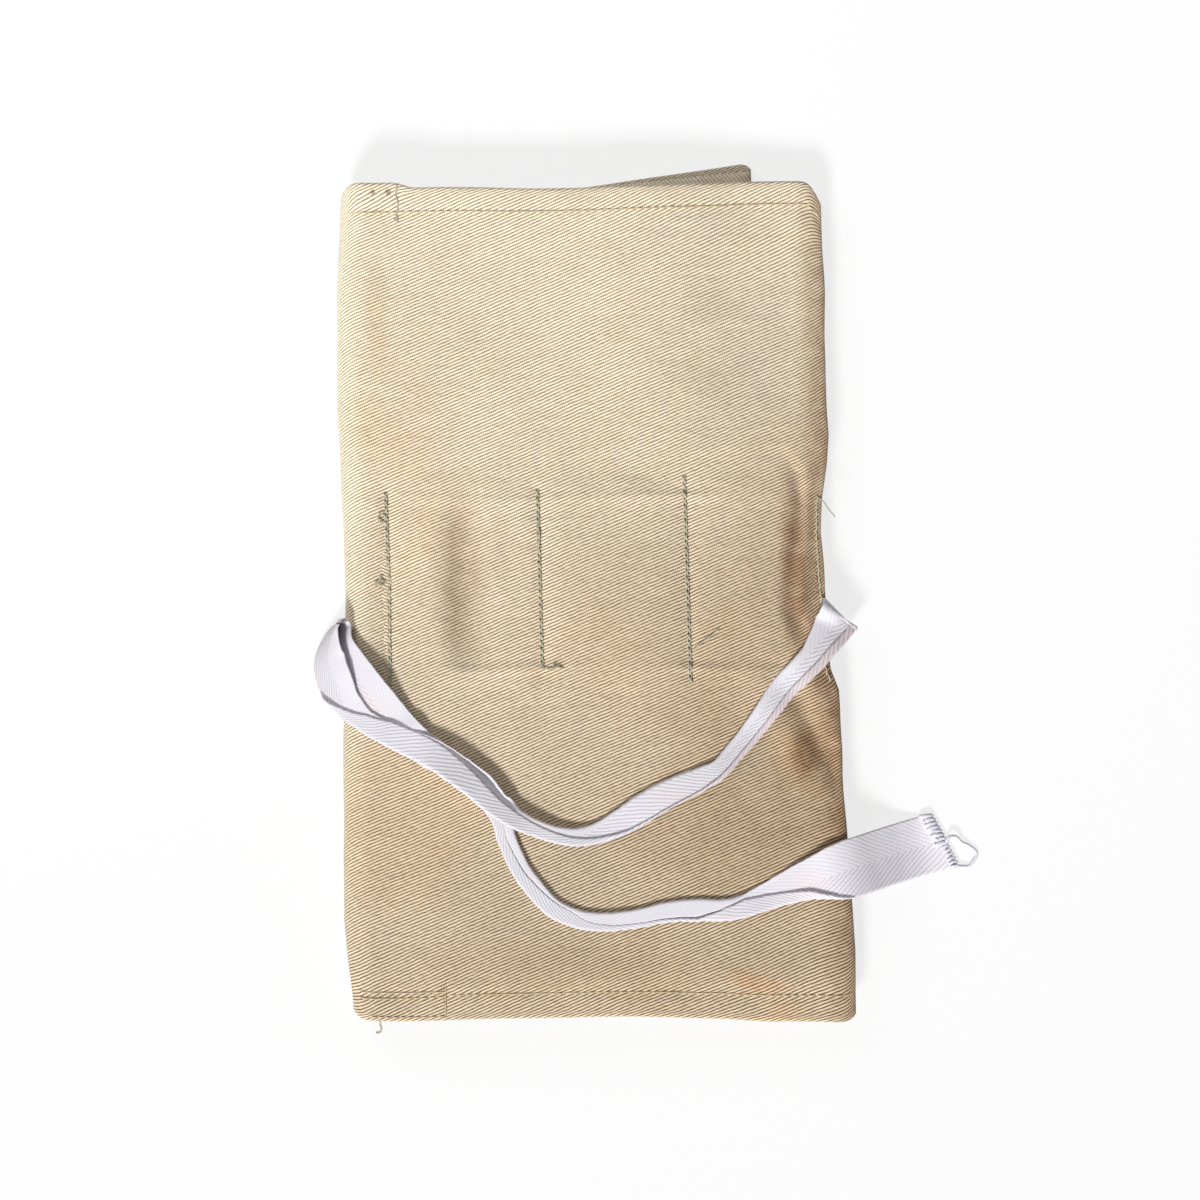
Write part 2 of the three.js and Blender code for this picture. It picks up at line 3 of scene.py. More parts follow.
import bpy
import numpy as np
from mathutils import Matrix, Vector


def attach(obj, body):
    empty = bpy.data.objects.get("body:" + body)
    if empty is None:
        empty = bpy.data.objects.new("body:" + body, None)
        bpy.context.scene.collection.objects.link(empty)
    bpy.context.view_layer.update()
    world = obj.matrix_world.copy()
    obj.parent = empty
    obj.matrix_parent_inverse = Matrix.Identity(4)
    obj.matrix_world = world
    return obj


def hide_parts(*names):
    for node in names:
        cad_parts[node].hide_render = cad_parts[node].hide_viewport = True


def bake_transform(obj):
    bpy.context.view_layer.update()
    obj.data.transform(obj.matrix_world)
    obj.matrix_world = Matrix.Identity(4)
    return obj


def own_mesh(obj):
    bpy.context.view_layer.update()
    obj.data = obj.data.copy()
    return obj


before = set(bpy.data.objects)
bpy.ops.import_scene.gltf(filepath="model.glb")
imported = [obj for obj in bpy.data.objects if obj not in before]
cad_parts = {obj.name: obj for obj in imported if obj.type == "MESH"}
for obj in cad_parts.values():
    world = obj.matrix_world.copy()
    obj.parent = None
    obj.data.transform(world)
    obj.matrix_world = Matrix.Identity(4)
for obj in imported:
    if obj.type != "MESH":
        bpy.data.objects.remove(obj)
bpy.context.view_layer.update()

MM = 0.001

# Main sizes, in mm. Some follow the photograph a little more closely than the solids do.
LEFT_CREST = -81.2
RIGHT_CREST = 79.1
TOP_EDGE = 131.0
BOTTOM_EDGE = -137.2
LEFT_LEAN = -0.0155
RIGHT_LEAN = -0.03
CENTRE_TOP_Z = 16.9
COVER_Z = 7.55
LEFT_RADIUS = CENTRE_TOP_Z / 2
RIGHT_RADIUS = (CENTRE_TOP_Z - COVER_Z) / 2
LEFT_START = LEFT_CREST + LEFT_RADIUS
RIGHT_START = RIGHT_CREST - RIGHT_RADIUS
RIGHT_FOLD_Z = COVER_Z + RIGHT_RADIUS
POCKET_END = 55.0
MOUTH_SETBACK = 7.0
POCKET_MOUTH = LEFT_START + MOUTH_SETBACK
COVER_LENGTH = 66.0
COVER_END = RIGHT_START - COVER_LENGTH
CORNER_RISE = 7.5
CORNER_RUN = 72.0
ROWS = (-66.1, -17.0, 30.6, 77.6)
ROW_DRAW = (1.0, 1.0, 0.8, 0.2)
LOOP_TOP = 37.0
LOOP_BOTTOM = -29.0
CLOTH = 0.9
BAND_CLOTH = 0.7
TAPE_CLOTH = 0.5
TAPE_WIDTH = 19.0
HEM_WIDTH = 9.0
HEM_TURN = 1.0
HEM_STITCH = 8.0
TOP_STITCH = TOP_EDGE - HEM_STITCH
BOTTOM_STITCH = BOTTOM_EDGE + HEM_STITCH
GRID = 1.3

# The photograph's frame: millimetres to a pixel, and the model's origin in pixels
PIXEL_MM = 0.322
ORIGIN_PX = (593.3, 594.0)
PICTURE_PX = 1200.0


# Camera: straight above, as in the photograph

CAMERA_HEIGHT = 1100.0  # mm over the front
SENSOR = 36.0
NEAREST = 0.01
FARTHEST = 10.0


def add_camera():
    data = bpy.data.cameras.new("camera")
    data.sensor_width = SENSOR
    data.lens = SENSOR * CAMERA_HEIGHT / (PICTURE_PX * PIXEL_MM)
    data.clip_start = NEAREST
    data.clip_end = FARTHEST
    camera = bpy.data.objects.new("camera", data)
    middle = PICTURE_PX / 2
    camera.location = (
        (middle - ORIGIN_PX[0]) * PIXEL_MM * MM,
        (ORIGIN_PX[1] - middle) * PIXEL_MM * MM,
        (CAMERA_HEIGHT + CENTRE_TOP_Z) * MM,
    )
    bpy.context.scene.collection.objects.link(camera)
    bpy.context.scene.camera = camera


add_camera()


# Small helpers

def smooth(low, high, value):
    share = np.clip((value - low) / (high - low), 0.0, 1.0)
    return share * share * (3 - 2 * share)


def hump(value, middle, width):
    return np.exp(-(((value - middle) / width) ** 2))


def window(value, low, high, soft):
    return smooth(low - soft, low + soft, value) * (1 - smooth(high - soft, high + soft, value))


def ripples(x, y, *sets):
    """Smooth unrepeating ripples. Each set: height, about which wavelength, how many waves, seed."""
    rise = 0.0
    for height, length, count, seed in sets:
        dice = np.random.default_rng(seed)
        total = np.zeros(np.broadcast(x, y).shape)
        for _ in range(count):
            angle = dice.uniform(0, math.tau)
            phase = dice.uniform(0, math.tau)
            rate = math.tau / (length * dice.uniform(0.75, 1.35))
            total += np.sin(rate * (x * math.cos(angle) + y * math.sin(angle)) + phase)
        rise = rise + height * total / math.sqrt(count)
    return rise


def directions(line):
    """The way ahead at each point of a line."""
    ahead = np.gradient(line, axis=0)
    return ahead / np.linalg.norm(ahead, axis=1)[:, None]


def lengths(line):
    """The length of a line up to each of its points."""
    return np.concatenate([[0], np.cumsum(np.linalg.norm(np.diff(line, axis=0), axis=1))])


def mesh_object(name, points, faces, uvs, *materials):
    """A smooth mesh from points in mm; uvs are per point, also in mm."""
    mesh = bpy.data.meshes.new(name)
    mesh.from_pydata((np.asarray(points) * MM).tolist(), [], faces)
    mesh.polygons.foreach_set("use_smooth", [True] * len(mesh.polygons))
    layer = mesh.uv_layers.new(name="cloth")
    corner = np.empty(len(mesh.loops), dtype=np.int64)
    mesh.loops.foreach_get("vertex_index", corner)
    layer.data.foreach_set("uv", (np.asarray(uvs)[corner] * MM).astype(np.float32).ravel())
    for material in materials:
        mesh.materials.append(material)
    made = bpy.data.objects.new(name, mesh)
    bpy.context.scene.collection.objects.link(made)
    return made


def grid_faces(rows, columns, closed=False):
    """Faces of a grid of points; a closed grid joins its last column to its first."""
    faces = []
    for i in range(rows - 1):
        for j in range(columns if closed else columns - 1):
            a, b = i * columns, i * columns + columns
            k = (j + 1) % columns
            faces.append((a + j, b + j, b + k, a + k))
    return faces


TO_BACK = -1.0
TO_BOTH_SIDES = 0.0


def sheet_object(name, points, uvs, thickness, face, back=None, flip=False, offset=TO_BACK):
    """A sheet from a grid of points, thickened towards its back; back is the back's material."""
    faces = grid_faces(*points.shape[:2])
    if flip:
        faces = [quad[::-1] for quad in faces]
    materials = (face, back) if back else (face,)
    made = mesh_object(name, points.reshape(-1, 3), faces, uvs.reshape(-1, 2), *materials)
    solid = made.modifiers.new("thickness", "SOLIDIFY")
    solid.thickness = thickness * MM
    solid.offset = offset
    solid.use_even_offset = False
    solid.material_offset = 1 if back else 0
    solid.material_offset_rim = 0
    return made


def patch(x_low, x_high, y_low, y_high, grid):
    """Places on flat cloth, in a grid of so many columns and rows."""
    across = np.linspace(x_low, x_high, grid[0])
    up = np.linspace(y_low, y_high, grid[1])
    return np.meshgrid(across, up, indexing="ij")


# Node building

def add_node(tree, kind, output, inputs, **settings):
    """A node with its settings and its inputs, which are sockets or values; gives one output."""
    node = tree.nodes.new("ShaderNode" + kind)
    for name, value in settings.items():
        setattr(node, name, value)
    set_inputs(tree, node, inputs)
    return node.outputs[output]


def set_inputs(tree, node, inputs):
    for key, value in inputs.items():
        if isinstance(value, bpy.types.NodeSocket):
            tree.links.new(value, node.inputs[key])
        else:
            node.inputs[key].default_value = value


BUMP_STRENGTH = 0.8
SPECULAR = 0.15
SHEEN_ROUGHNESS = 0.5


class Shader:
    """Short calls for one material's nodes."""

    def __init__(self, name):
        self.material = bpy.data.materials.new(name)
        self.material.use_nodes = True
        self.tree = self.material.node_tree
        self.uv = self.add("UVMap", "UV", {}, uv_map="cloth")
        self.x = self.dot((1, 0, 0))
        self.y = self.dot((0, 1, 0))

    def add(self, kind, output, inputs, **settings):
        return add_node(self.tree, kind, output, inputs, **settings)

    def math(self, operation, a, b=0.0, clamp=False):
        return self.add("Math", 0, {0: a, 1: b}, operation=operation, use_clamp=clamp)

    def times(self, a, b):
        return self.math("MULTIPLY", a, b)

    def plus(self, a, b, clamp=False):
        return self.math("ADD", a, b, clamp)

    def less(self, a, b):
        return self.math("SUBTRACT", a, b)

    def sine(self, value, rate):
        return self.math("SINE", self.times(value, rate))

    def dot(self, direction):
        """The cloth's place along a direction."""
        return self.add("VectorMath", "Value", {0: self.uv, 1: direction}, operation="DOT_PRODUCT")

    def noise(self, scale, detail=2.0, stretch=None, angle=0.0, roughness=0.5):
        place = self.uv
        if stretch:
            place = self.add("Mapping", 0, {"Vector": place, "Rotation": (0, 0, angle), "Scale": stretch})
        inputs = {"Vector": place, "Scale": scale, "Detail": detail, "Roughness": roughness}
        return self.add("TexNoise", "Fac", inputs)

    def stray(self, noise, amount):
        """Noise about nought."""
        return self.times(self.less(noise, 0.5), amount)

    def remap(self, value, low, high, to_low=0.0, to_high=1.0, steps="SMOOTHSTEP"):
        inputs = {"Value": value, "From Min": low, "From Max": high, "To Min": to_low, "To Max": to_high}
        return self.add("MapRange", "Result", inputs, interpolation_type=steps)

    def cloud(self, scale, detail, *ends, roughness=0.5):
        """Patches of noise; ends are its range, and what that is mapped to."""
        return self.remap(self.noise(scale, detail, roughness=roughness), *ends)

    def mix(self, share, a, b, blend="MIX"):
        return self.add("Mix", 2, {0: share, 6: a, 7: b}, data_type="RGBA", blend_type=blend)

    def tint(self, share, base, tint):
        """The base colour, multiplied by a tint where share is one."""
        return self.mix(share, base, self.mix(1.0, base, tint, "MULTIPLY"))

    def spot(self, x, y, radius_x, radius_y, soft=0.6):
        """One inside an oval patch of the cloth, in mm, and nought outside it."""
        dx = self.math("DIVIDE", self.less(self.x, x * MM), radius_x * MM)
        dy = self.math("DIVIDE", self.less(self.y, y * MM), radius_y * MM)
        far = self.math("SQRT", self.plus(self.times(dx, dx), self.times(dy, dy)))
        return self.remap(far, 1 - soft, 1 + soft, 1.0, 0.0)

    def finish(self, base, roughness, sheen, height, depth):
        """Sets the surface, with a bump of this depth in mm."""
        inputs = {"Distance": depth * MM, "Strength": BUMP_STRENGTH, "Height": height}
        inputs = {
            "Normal": self.add("Bump", "Normal", inputs), "Base Color": base, "Roughness": roughness,
            "Sheen Weight": sheen, "Sheen Roughness": SHEEN_ROUGHNESS, "Specular IOR Level": SPECULAR,
        }
        set_inputs(self.tree, self.tree.nodes["Principled BSDF"], inputs)
        return self.material


def colour(red, green, blue):
    """A picture colour, 0 to 255, as the linear colour that shaders take."""
    def line(value):
        share = value / 255
        return share / 12.92 if share <= 0.04045 else ((share + 0.055) / 1.055) ** 2.4
    return (line(red), line(green), line(blue), 1.0)


# Cloth: heavy cotton drill

TWILL_ANGLE = 23.4
INSIDE_ANGLE = 128.0
TWILL_PERIOD = 0.98
PICK_PERIOD = 0.69

# Tints of the marks, and of the painted shade
ORANGE = (1.0, 0.80, 0.68, 1.0)
BROWN = (0.88, 0.80, 0.70, 1.0)
DARK = (0.57, 0.475, 0.41, 1.0)
TAN = (0.98, 0.90, 0.80, 1.0)
HOLE_AND_SHADE = (0.42, 0.36, 0.30, 1.0)
PINK = (1.0, 0.94, 0.91, 1.0)
PALE = (1.12, 1.12, 1.12, 1.0)
# painted shade: the tint of the darkening towards the lower right, and of some shaded patches
SHADE_TINT = (0.80, 0.72, 0.65, 1.0)
# painted shade in the grooves of the weave, where the cloth is darkened
GROOVE_SHADE = (0.38, 0.31, 0.26, 1.0)
SPECK = colour(128, 104, 72)
SHADE_RATE = (0.0036, -0.0056)  # painted shade: the cloth is darkened towards its lower right corner, away from the light

# Marks and painted shade on the front, in mm on the cloth: place, half sizes, tint and strength
MARKS_AND_PAINTED_SHADE = (
    (45, -122.6, 5, 2.6, ORANGE, 0.5),
    (50.5, -125.8, 7, 2.8, ORANGE, 0.6),
    (30, -131, 90, 8, PALE, 0.9),
    (64, -52, 5, 7, ORANGE, 0.2),
    (66, -50, 9, 14, BROWN, 0.75),
    (67, -52, 4, 9, DARK, 0.9),
    # painted shade in the hollow beside the last row
    (66, 8, 4.5, 24, DARK, 1.0),
    # painted shade along the right fold, where it turns away from the light
    (80, 10, 9, 170, DARK, 0.9),
    # painted shadow below and beside the tape's strands on the right
    (46, -78, 40, 20, SHADE_TINT, 0.6),
    # painted shade over the right side of the front
    (60, -12, 24, 48, SHADE_TINT, 0.55),
    # painted shade in the upright valley between the first two rows
    (-42, 5, 7.5, 25, DARK, 0.5),
    (-55, 4, 12, 28, BROWN, 0.4),
    (-60, -72, 20, 26, TAN, 0.7),
    (-62, 60, 14, 30, TAN, 0.4),
    (-69.6, 128.4, 0.8, 0.6, HOLE_AND_SHADE, 1.0),
    (-64.2, 128.4, 0.9, 0.8, HOLE_AND_SHADE, 1.0),
    (-68.2, 123.4, 1.2, 0.7, HOLE_AND_SHADE, 0.5),
    # painted shade in the groove of the box tack's upright line
    (-49.9, -131, 0.35, 5.4, HOLE_AND_SHADE, 0.9),
    (-50.6, -127, 1.1, 0.8, HOLE_AND_SHADE, 0.6),
    (57.5, -134.4, 5, 3, ORANGE, 0.45),
    (33, -46, 12, 20, BROWN, 0.4),
    (-20, -120, 40, 9, BROWN, 0.3),
    (-68, 90, 3.5, 16, BROWN, 0.5),
    (66, 14, 6, 30, PINK, 0.8),
    (10, -10, 28, 22, BROWN, 0.35),
)

WANDERS = ((48, 3, 0.9), (420, 2, 0.35))  # how the ridges stray: scale, detail and amount
RIDGE_RISE = (-0.95, 0.15)  # where on its wave a ridge begins and is full
PICK_SLOPE = 0.5
BRIDGE_RISE = (-0.2, 0.9, 0.0, 0.55)
YARN_GRAIN = {"scale": 1100, "stretch": (0.4, 1.5, 1)}
SLUB_GRAIN = {"scale": 500, "stretch": (0.14, 1.0, 1)}
YARN_SHARE = 0.7
YARN_HEIGHT = 0.5
MEAN_SHARE = 0.6  # share of the ridges' colour in the cloth's mean
SLUB_SHADE = (0.25, 0.75, 0.93, 1.06, "LINEAR")
SHADE_RISE = (-0.8, 1.0)

# Clouds: scale and detail of the noise, its range, and what that is mapped to
BROAD = (20, 4, 0.3, 0.7, 0.95, 1.04, "LINEAR")
WORN = (34, 5, 0.5, 0.72, 0.0, 0.28)
WORN_ROUGHNESS = 0.62
BLUSH = (15, 3, 0.5, 0.7, 0.0, 0.5)
SPECKS = (700, 3, 0.70, 0.78, 0.0, 0.35)
BLOTCH = (160, 4, 0.25, 0.62, 0.6, 1.0)

CANVAS_ROUGHNESS = 0.92
CANVAS_SHEEN = 0.1
CANVAS_BUMP = 0.14


def canvas_weave(s, angle):
    """The cloth's ridges, the yarn between them, its fibres and its thick and thin yarns."""
    turn = math.radians(angle)
    rate = 1 / (TWILL_PERIOD * MM)
    across = s.dot((-math.sin(turn) * rate, math.cos(turn) * rate, 0))
    along = s.dot((math.cos(turn) * rate, math.sin(turn) * rate, 0))
    phase = across
    for scale, detail, amount in WANDERS:
        phase = s.plus(phase, s.stray(s.noise(scale, detail), amount))
    twill = s.remap(s.sine(phase, math.tau), *RIDGE_RISE)
    step = s.plus(along, s.times(across, PICK_SLOPE))
    dots = s.sine(step, math.tau * TWILL_PERIOD / PICK_PERIOD)
    bridge = s.times(s.less(1.0, twill), s.remap(dots, *BRIDGE_RISE))
    yarn = s.noise(**YARN_GRAIN, angle=-turn)
    slub = s.noise(**SLUB_GRAIN, angle=-turn)
    weave = s.plus(s.plus(twill, bridge), s.stray(yarn, YARN_SHARE), clamp=True)
    return twill, weave, yarn, slub


def canvas_material(name, ridge, groove, angle, contrast, marks_and_shade=()):
    """Slanting ridges of yarn with dark dotted lines between them, worn and stained, with painted shade
    towards the lower right corner and in some of its marks.
    """
    s = Shader(name)
    twill, weave, yarn, slub = canvas_weave(s, angle)
    base = s.mix(weave, groove, ridge)
    base = s.mix(contrast, s.mix(MEAN_SHARE, groove, ridge), base)
    base = s.mix(1.0, base, s.times(s.remap(slub, *SLUB_SHADE), s.cloud(*BROAD)), "MULTIPLY")
    base = s.tint(s.cloud(*WORN, roughness=WORN_ROUGHNESS), base, BROWN)
    base = s.tint(s.cloud(*BLUSH), base, PINK)
    # Painted shade: darker towards the lower right corner, most of all in the grooves
    shaded = s.remap(s.dot((SHADE_RATE[0] / MM, SHADE_RATE[1] / MM, 0)), *SHADE_RISE)
    base = s.tint(shaded, base, SHADE_TINT)
    base = s.tint(s.times(shaded, s.less(1.0, weave)), base, GROOVE_SHADE)
    base = s.mix(s.cloud(*SPECKS), base, SPECK)
    blotch = s.cloud(*BLOTCH)
    for x, y, half_width, half_height, tint, strength in marks_and_shade:
        mark = s.times(s.spot(x, y, half_width, half_height), strength)
        base = s.tint(s.times(mark, blotch), base, tint)
    height = s.plus(twill, s.times(yarn, YARN_HEIGHT))
    return s.finish(base, CANVAS_ROUGHNESS, CANVAS_SHEEN, height, CANVAS_BUMP)


RIDGE = colour(255, 243, 217)
GROOVE = colour(112, 72, 34)
# The inside's paler, softer colours are partly the back's own weave and partly painted light, lifted for the
# outer flap's corner, which lies in the bundle's shadow
INSIDE_RIDGE = colour(254, 243, 222)
INSIDE_GROOVE = colour(186, 164, 130)
INSIDE_CONTRAST = 0.8
canvas = canvas_material("canvas", RIDGE, GROOVE, TWILL_ANGLE, 1.0, MARKS_AND_PAINTED_SHADE)
canvas_inside = canvas_material("canvas_inside", INSIDE_RIDGE, INSIDE_GROOVE, INSIDE_ANGLE, INSIDE_CONTRAST)


# Tape: white cotton herringbone

RIB_ANGLE = 58.0
RIB_PERIOD = 1.25
WEFT_PERIOD = 0.55
TAPE_MIDDLE = TAPE_WIDTH / 2
SEAM_SHARE = 0.03  # the ribs change over this share of the width, on both sides of the middle
TAPE_WANDER = (120, 2, 0.8)
RIB_RISE = (-1.0, 0.1)
RIB_CLEARNESS = (0.3, 0.75)  # how clearly the ribs show on either side of the middle
FLUFF_SCALE = 1500
FLUFF_SHARE = 0.5
FLUFF_HEIGHT = 0.4
WEFT_SHARE = 0.08
TAPE_CLOUD = (45, 3, 0.5, 0.72, 0.0, 0.35)
TAPE_RIB = colour(232, 230, 236)
TAPE_GROOVE = colour(198, 192, 200)
TAPE_BLUSH = colour(240, 222, 220)
TAPE_ROUGHNESS = 0.9
TAPE_SHEEN = 0.25
TAPE_BUMP = 0.12

# Marks and painted light on the tape: place across and along, half sizes, softness, tint and strength
TAPE_MARKS_AND_PAINTED_LIGHT = (
    # painted shade on the tape's left turn
    (TAPE_MIDDLE, 272.0, 40.0, 32.0, 0.6, (0.87, 0.86, 0.87, 1.0), 1.0),
    # painted light on the tape's free end, which slopes away from the light
    (TAPE_MIDDLE, 525.0, 40.0, 55.0, 0.6, (1.16, 1.14, 1.16, 1.0), 0.8),
    (18.5, 78.0, 4.0, 40.0, 0.3, (1.0, 0.86, 0.83, 1.0), 0.8),
)


def tape_material():
    """Two bands of slanting ribs that meet along the middle."""
    s = Shader("tape")
    side = s.math("ABSOLUTE", s.less(s.x, TAPE_MIDDLE * MM))
    slant = math.radians(RIB_ANGLE)
    rate = 1 / (RIB_PERIOD * MM)
    phase = s.plus(s.times(side, rate * math.sin(slant)), s.times(s.y, rate * math.cos(slant)))
    scale, detail, amount = TAPE_WANDER
    wander = s.stray(s.noise(scale, detail), amount)
    rib = s.remap(s.sine(s.plus(phase, wander), math.tau), *RIB_RISE)
    weft = s.sine(s.y, math.tau / (WEFT_PERIOD * MM))
    fluff = s.noise(FLUFF_SCALE)
    seam = SEAM_SHARE * TAPE_WIDTH
    clear = s.remap(s.x, (TAPE_MIDDLE - seam) * MM, (TAPE_MIDDLE + seam) * MM, *RIB_CLEARNESS)
    rib = s.less(1.0, s.times(s.less(1.0, rib), clear))
    weave = s.plus(s.plus(rib, s.times(weft, WEFT_SHARE)), s.stray(fluff, FLUFF_SHARE), clamp=True)
    base = s.mix(weave, TAPE_GROOVE, TAPE_RIB)
    base = s.mix(s.cloud(*TAPE_CLOUD), base, TAPE_BLUSH)
    for across, along, half_width, half_length, soft, tint, strength in TAPE_MARKS_AND_PAINTED_LIGHT:
        base = s.tint(s.times(s.spot(across, along, half_width, half_length, soft), strength), base, tint)
    height = s.plus(rib, s.times(fluff, FLUFF_HEIGHT))
    return s.finish(base, TAPE_ROUGHNESS, TAPE_SHEEN, height, TAPE_BUMP)


tape_cloth = tape_material()


# Sewing thread

PLY_ROUND = 0.5
PLY_ALONG = 0.9
PLY_RISE = (-0.8, 0.8)
THREAD_CLOUD = (300, 3, 0.35, 0.7, 0.0, 0.35)
THREAD_ROUGHNESS = 0.8
THREAD_SHEEN = 0.2
THREAD_BUMP = 0.06


def thread_material(name, light, dark):
    """Twisted thread with fine slanting plies."""
    s = Shader(name)
    turns = s.plus(s.times(s.x, math.tau / (PLY_ROUND * MM)), s.times(s.y, math.tau / (PLY_ALONG * MM)))
    ply = s.remap(s.math("SINE", turns), *PLY_RISE)
    base = s.mix(ply, dark, light)
    base = s.mix(s.cloud(*THREAD_CLOUD), base, dark)
    return s.finish(base, THREAD_ROUGHNESS, THREAD_SHEEN, ply, THREAD_BUMP)


khaki_thread = thread_material("khaki_thread", colour(220, 216, 194), colour(160, 156, 130))
fine_thread = thread_material("fine_thread", colour(240, 224, 190), colour(190, 166, 128))
white_thread = thread_material("white_thread", colour(246, 244, 250), colour(220, 218, 230))


# The main cloth: one strip from the outer flap, over the left fold, across the front and
# over the right fold to the cover flap. Its place s runs along the strip.

S_POCKET = POCKET_END - LEFT_START
S_LEFT = S_POCKET + math.pi * LEFT_RADIUS
S_CENTRE = S_LEFT + RIGHT_START - LEFT_START
S_CREST = S_CENTRE + math.pi / 2 * RIGHT_RADIUS
S_RIGHT = S_CENTRE + math.pi * RIGHT_RADIUS
S_END = S_RIGHT + RIGHT_START - COVER_END


def section(s):
    """x, z and the outward direction of the strip's outer face."""
    s = np.asarray(s, float)
    left = np.clip((s - S_POCKET) / LEFT_RADIUS, 0, math.pi)
    right = np.clip((s - S_CENTRE) / RIGHT_RADIUS, 0, math.pi)
    angle = -math.pi / 2 - left
    on_left = s < (S_LEFT + S_CENTRE) / 2
    nx = np.where(on_left, np.cos(angle), np.sin(right))
    nz = np.where(on_left, np.sin(angle), np.cos(right))
    x = np.where(on_left, LEFT_START + LEFT_RADIUS * nx, RIGHT_START + RIGHT_RADIUS * nx)
    z = np.where(on_left, LEFT_RADIUS + LEFT_RADIUS * nz, RIGHT_FOLD_Z + RIGHT_RADIUS * nz)
    x = x + np.clip(S_POCKET - s, 0, None)
    x = x + np.where(on_left, np.clip(s - S_LEFT, 0, None), np.clip(s - S_CENTRE, None, 0))
    x = x - np.clip(s - S_RIGHT, 0, None)
    return x, z, nx, nz


# How far the two folds stand out from straight lines: height along the cloth, then shift
LEFT_OUTLINE = (
    (-137, 1.3), (-125, 0.4), (-105, -1.3), (-70, -0.8), (-45, -0.6), (0, 0.9), (20, 0.5), (60, -0.8),
    (98, -0.5), (131, 1.4),
)
RIGHT_OUTLINE = (
    (-137, 1.9), (-115, 2.3), (-80, 1.0), (-58, 0.0), (-38, -0.2), (-31, -0.5), (-24, -3.0), (1, -3.9),
    (20, -4.8), (31, -4.2), (42, -2.2), (52, -1.2), (70, -1.8), (98, -1.2), (131, -1.6),
)
LEFT_REACH = 26.0  # the folds' shifts fade out over these widths
RIGHT_REACH = 14.0


def outline(table, y):
    heights, shifts = zip(*table)
    return np.interp(y, heights, shifts)


def lean(x, y):
    """Where a point of the straight bundle really lies: the folds lean and waver."""
    share = (x - LEFT_CREST) / (RIGHT_CREST - LEFT_CREST)
    drift = LEFT_LEAN + (RIGHT_LEAN - LEFT_LEAN) * share
    to_left = 1 - smooth(LEFT_CREST, LEFT_CREST + LEFT_REACH, x)
    to_right = smooth(RIGHT_CREST - RIGHT_REACH, RIGHT_CREST, x)
    return x + y * drift + to_left * outline(LEFT_OUTLINE, y) + to_right * outline(RIGHT_OUTLINE, y)


# Relief of the front, in mm

# Ripples: height, wavelength, number of waves and seed
FRONT_RIPPLES = ((0.45, 75, 7, 3), (0.12, 24, 9, 5), (0.05, 10, 9, 8))
OTHER_RIPPLES = (0.12, 20, 8, 11)

# The loops' swell, and how the rows of stitches draw the cloth in: depth, place and half width
LOOP_SWELL = 0.8
LOOP_SWELL_POWER = 1.6
ROW_GROOVES = ((0.55, 0, 1.8), (0.4, 0, 5.0))
LOOP_SPAN = (LOOP_BOTTOM, LOOP_TOP, 3.0)
DRAWN_SPAN = (LOOP_BOTTOM + 1, LOOP_TOP - 2, 2.0)
PUCKER_HEIGHT = 0.16
PUCKER_PITCH = 4.6
PUCKER_WIDTH = 4.0

# Upright folds: height, place across, half width, lower end, upper end and softness of the ends
UPRIGHT_FOLDS = (
    (1.1, -51, 7, -20, 28, 9),
    (-2.1, -40.5, 6, -20, 28, 9),
    (-0.9, -27, 5, 0, 28, 9),
    (-0.5, 8, 9, -16, 26, 9),
    (0.5, 54, 8, -20, 36, 8),
)

# The hollow beside the last row: height along the cloth, then place across
HOLLOW = ((-14, 66.0), (-8, 64.6), (-2, 63.0), (8, 64.6), (18, 66.3), (30, 68.0), (39, 67.2), (48, 61.0))
# Its ridge and trough: height, distance from that place and half width
HOLLOW_FORM = ((0.6, 5.5, 2.6), (-1.3, 0.0, 2.8))
HOLLOW_SPAN = (-12, 42, 6)

# Slanting folds by the right edge, below the tape: a point, a direction, and the folds beside it
SLANT_POINT = (70, -44)
SLANT_WAY = (0.90, 0.44)
SLANT_FORM = ((-1.4, 0, 3.6), (0.8, -8, 4.5), (0.7, 7, 3))
SLANT_SPAN = (-60, -26, 8)

# Level ridges where the inner band's edges press through: height, place, slope, wave height,
# wave rate, phase, half width, and the ends
PRESSED_EDGES = (
    (0.8, 31, 0, 0.8, 1 / 17, 0, 0.9, -60, 45),
    (0.8, -23.6, 0, 0.9, 1 / 13, 1, 0.9, -48, 62),
    (0.3, 46.5, 0.03, 0, 0, 0, 1.2, 32, 68),
    (0.2, -4, 0.05, 0, 0, 0, 1.3, -10, 24),
)
PRESSED_SOFT = 6.0

# Hems: the groove of the stitches, the swell outside it and its puckers
HEM_GROOVE_WIDTH = 1.1
HEM_SWELL = 0.18
HEM_SWELL_RUN = 3.0
HEM_PUCKER = 0.12
HEM_PUCKER_PITCH = 5.3
HEM_PUCKER_WIDTH = 3.0
HEMS = ((TOP_STITCH, 1, 0.16), (BOTTOM_STITCH, -1, 0.26))  # place, way outwards and depth of the groove

SWELL_LIMIT = 1.2  # so that the opened cloth still lies on its table
SWELL_DROP = 0.4


def forms(value, table):
    """Ridges and troughs beside each other: height, place and half width."""
    return sum(height * hump(value, place, width) for height, place, width in table)


def loop_swell(x, power):
    """The loops' round shape across the cloth, from nought at the rows to one between them."""
    total = 0.0
    for left, right in zip(ROWS, ROWS[1:]):
        share = np.clip((x - left) / (right - left), 0, 1)
        total = total + np.sin(math.pi * share) ** power
    return total


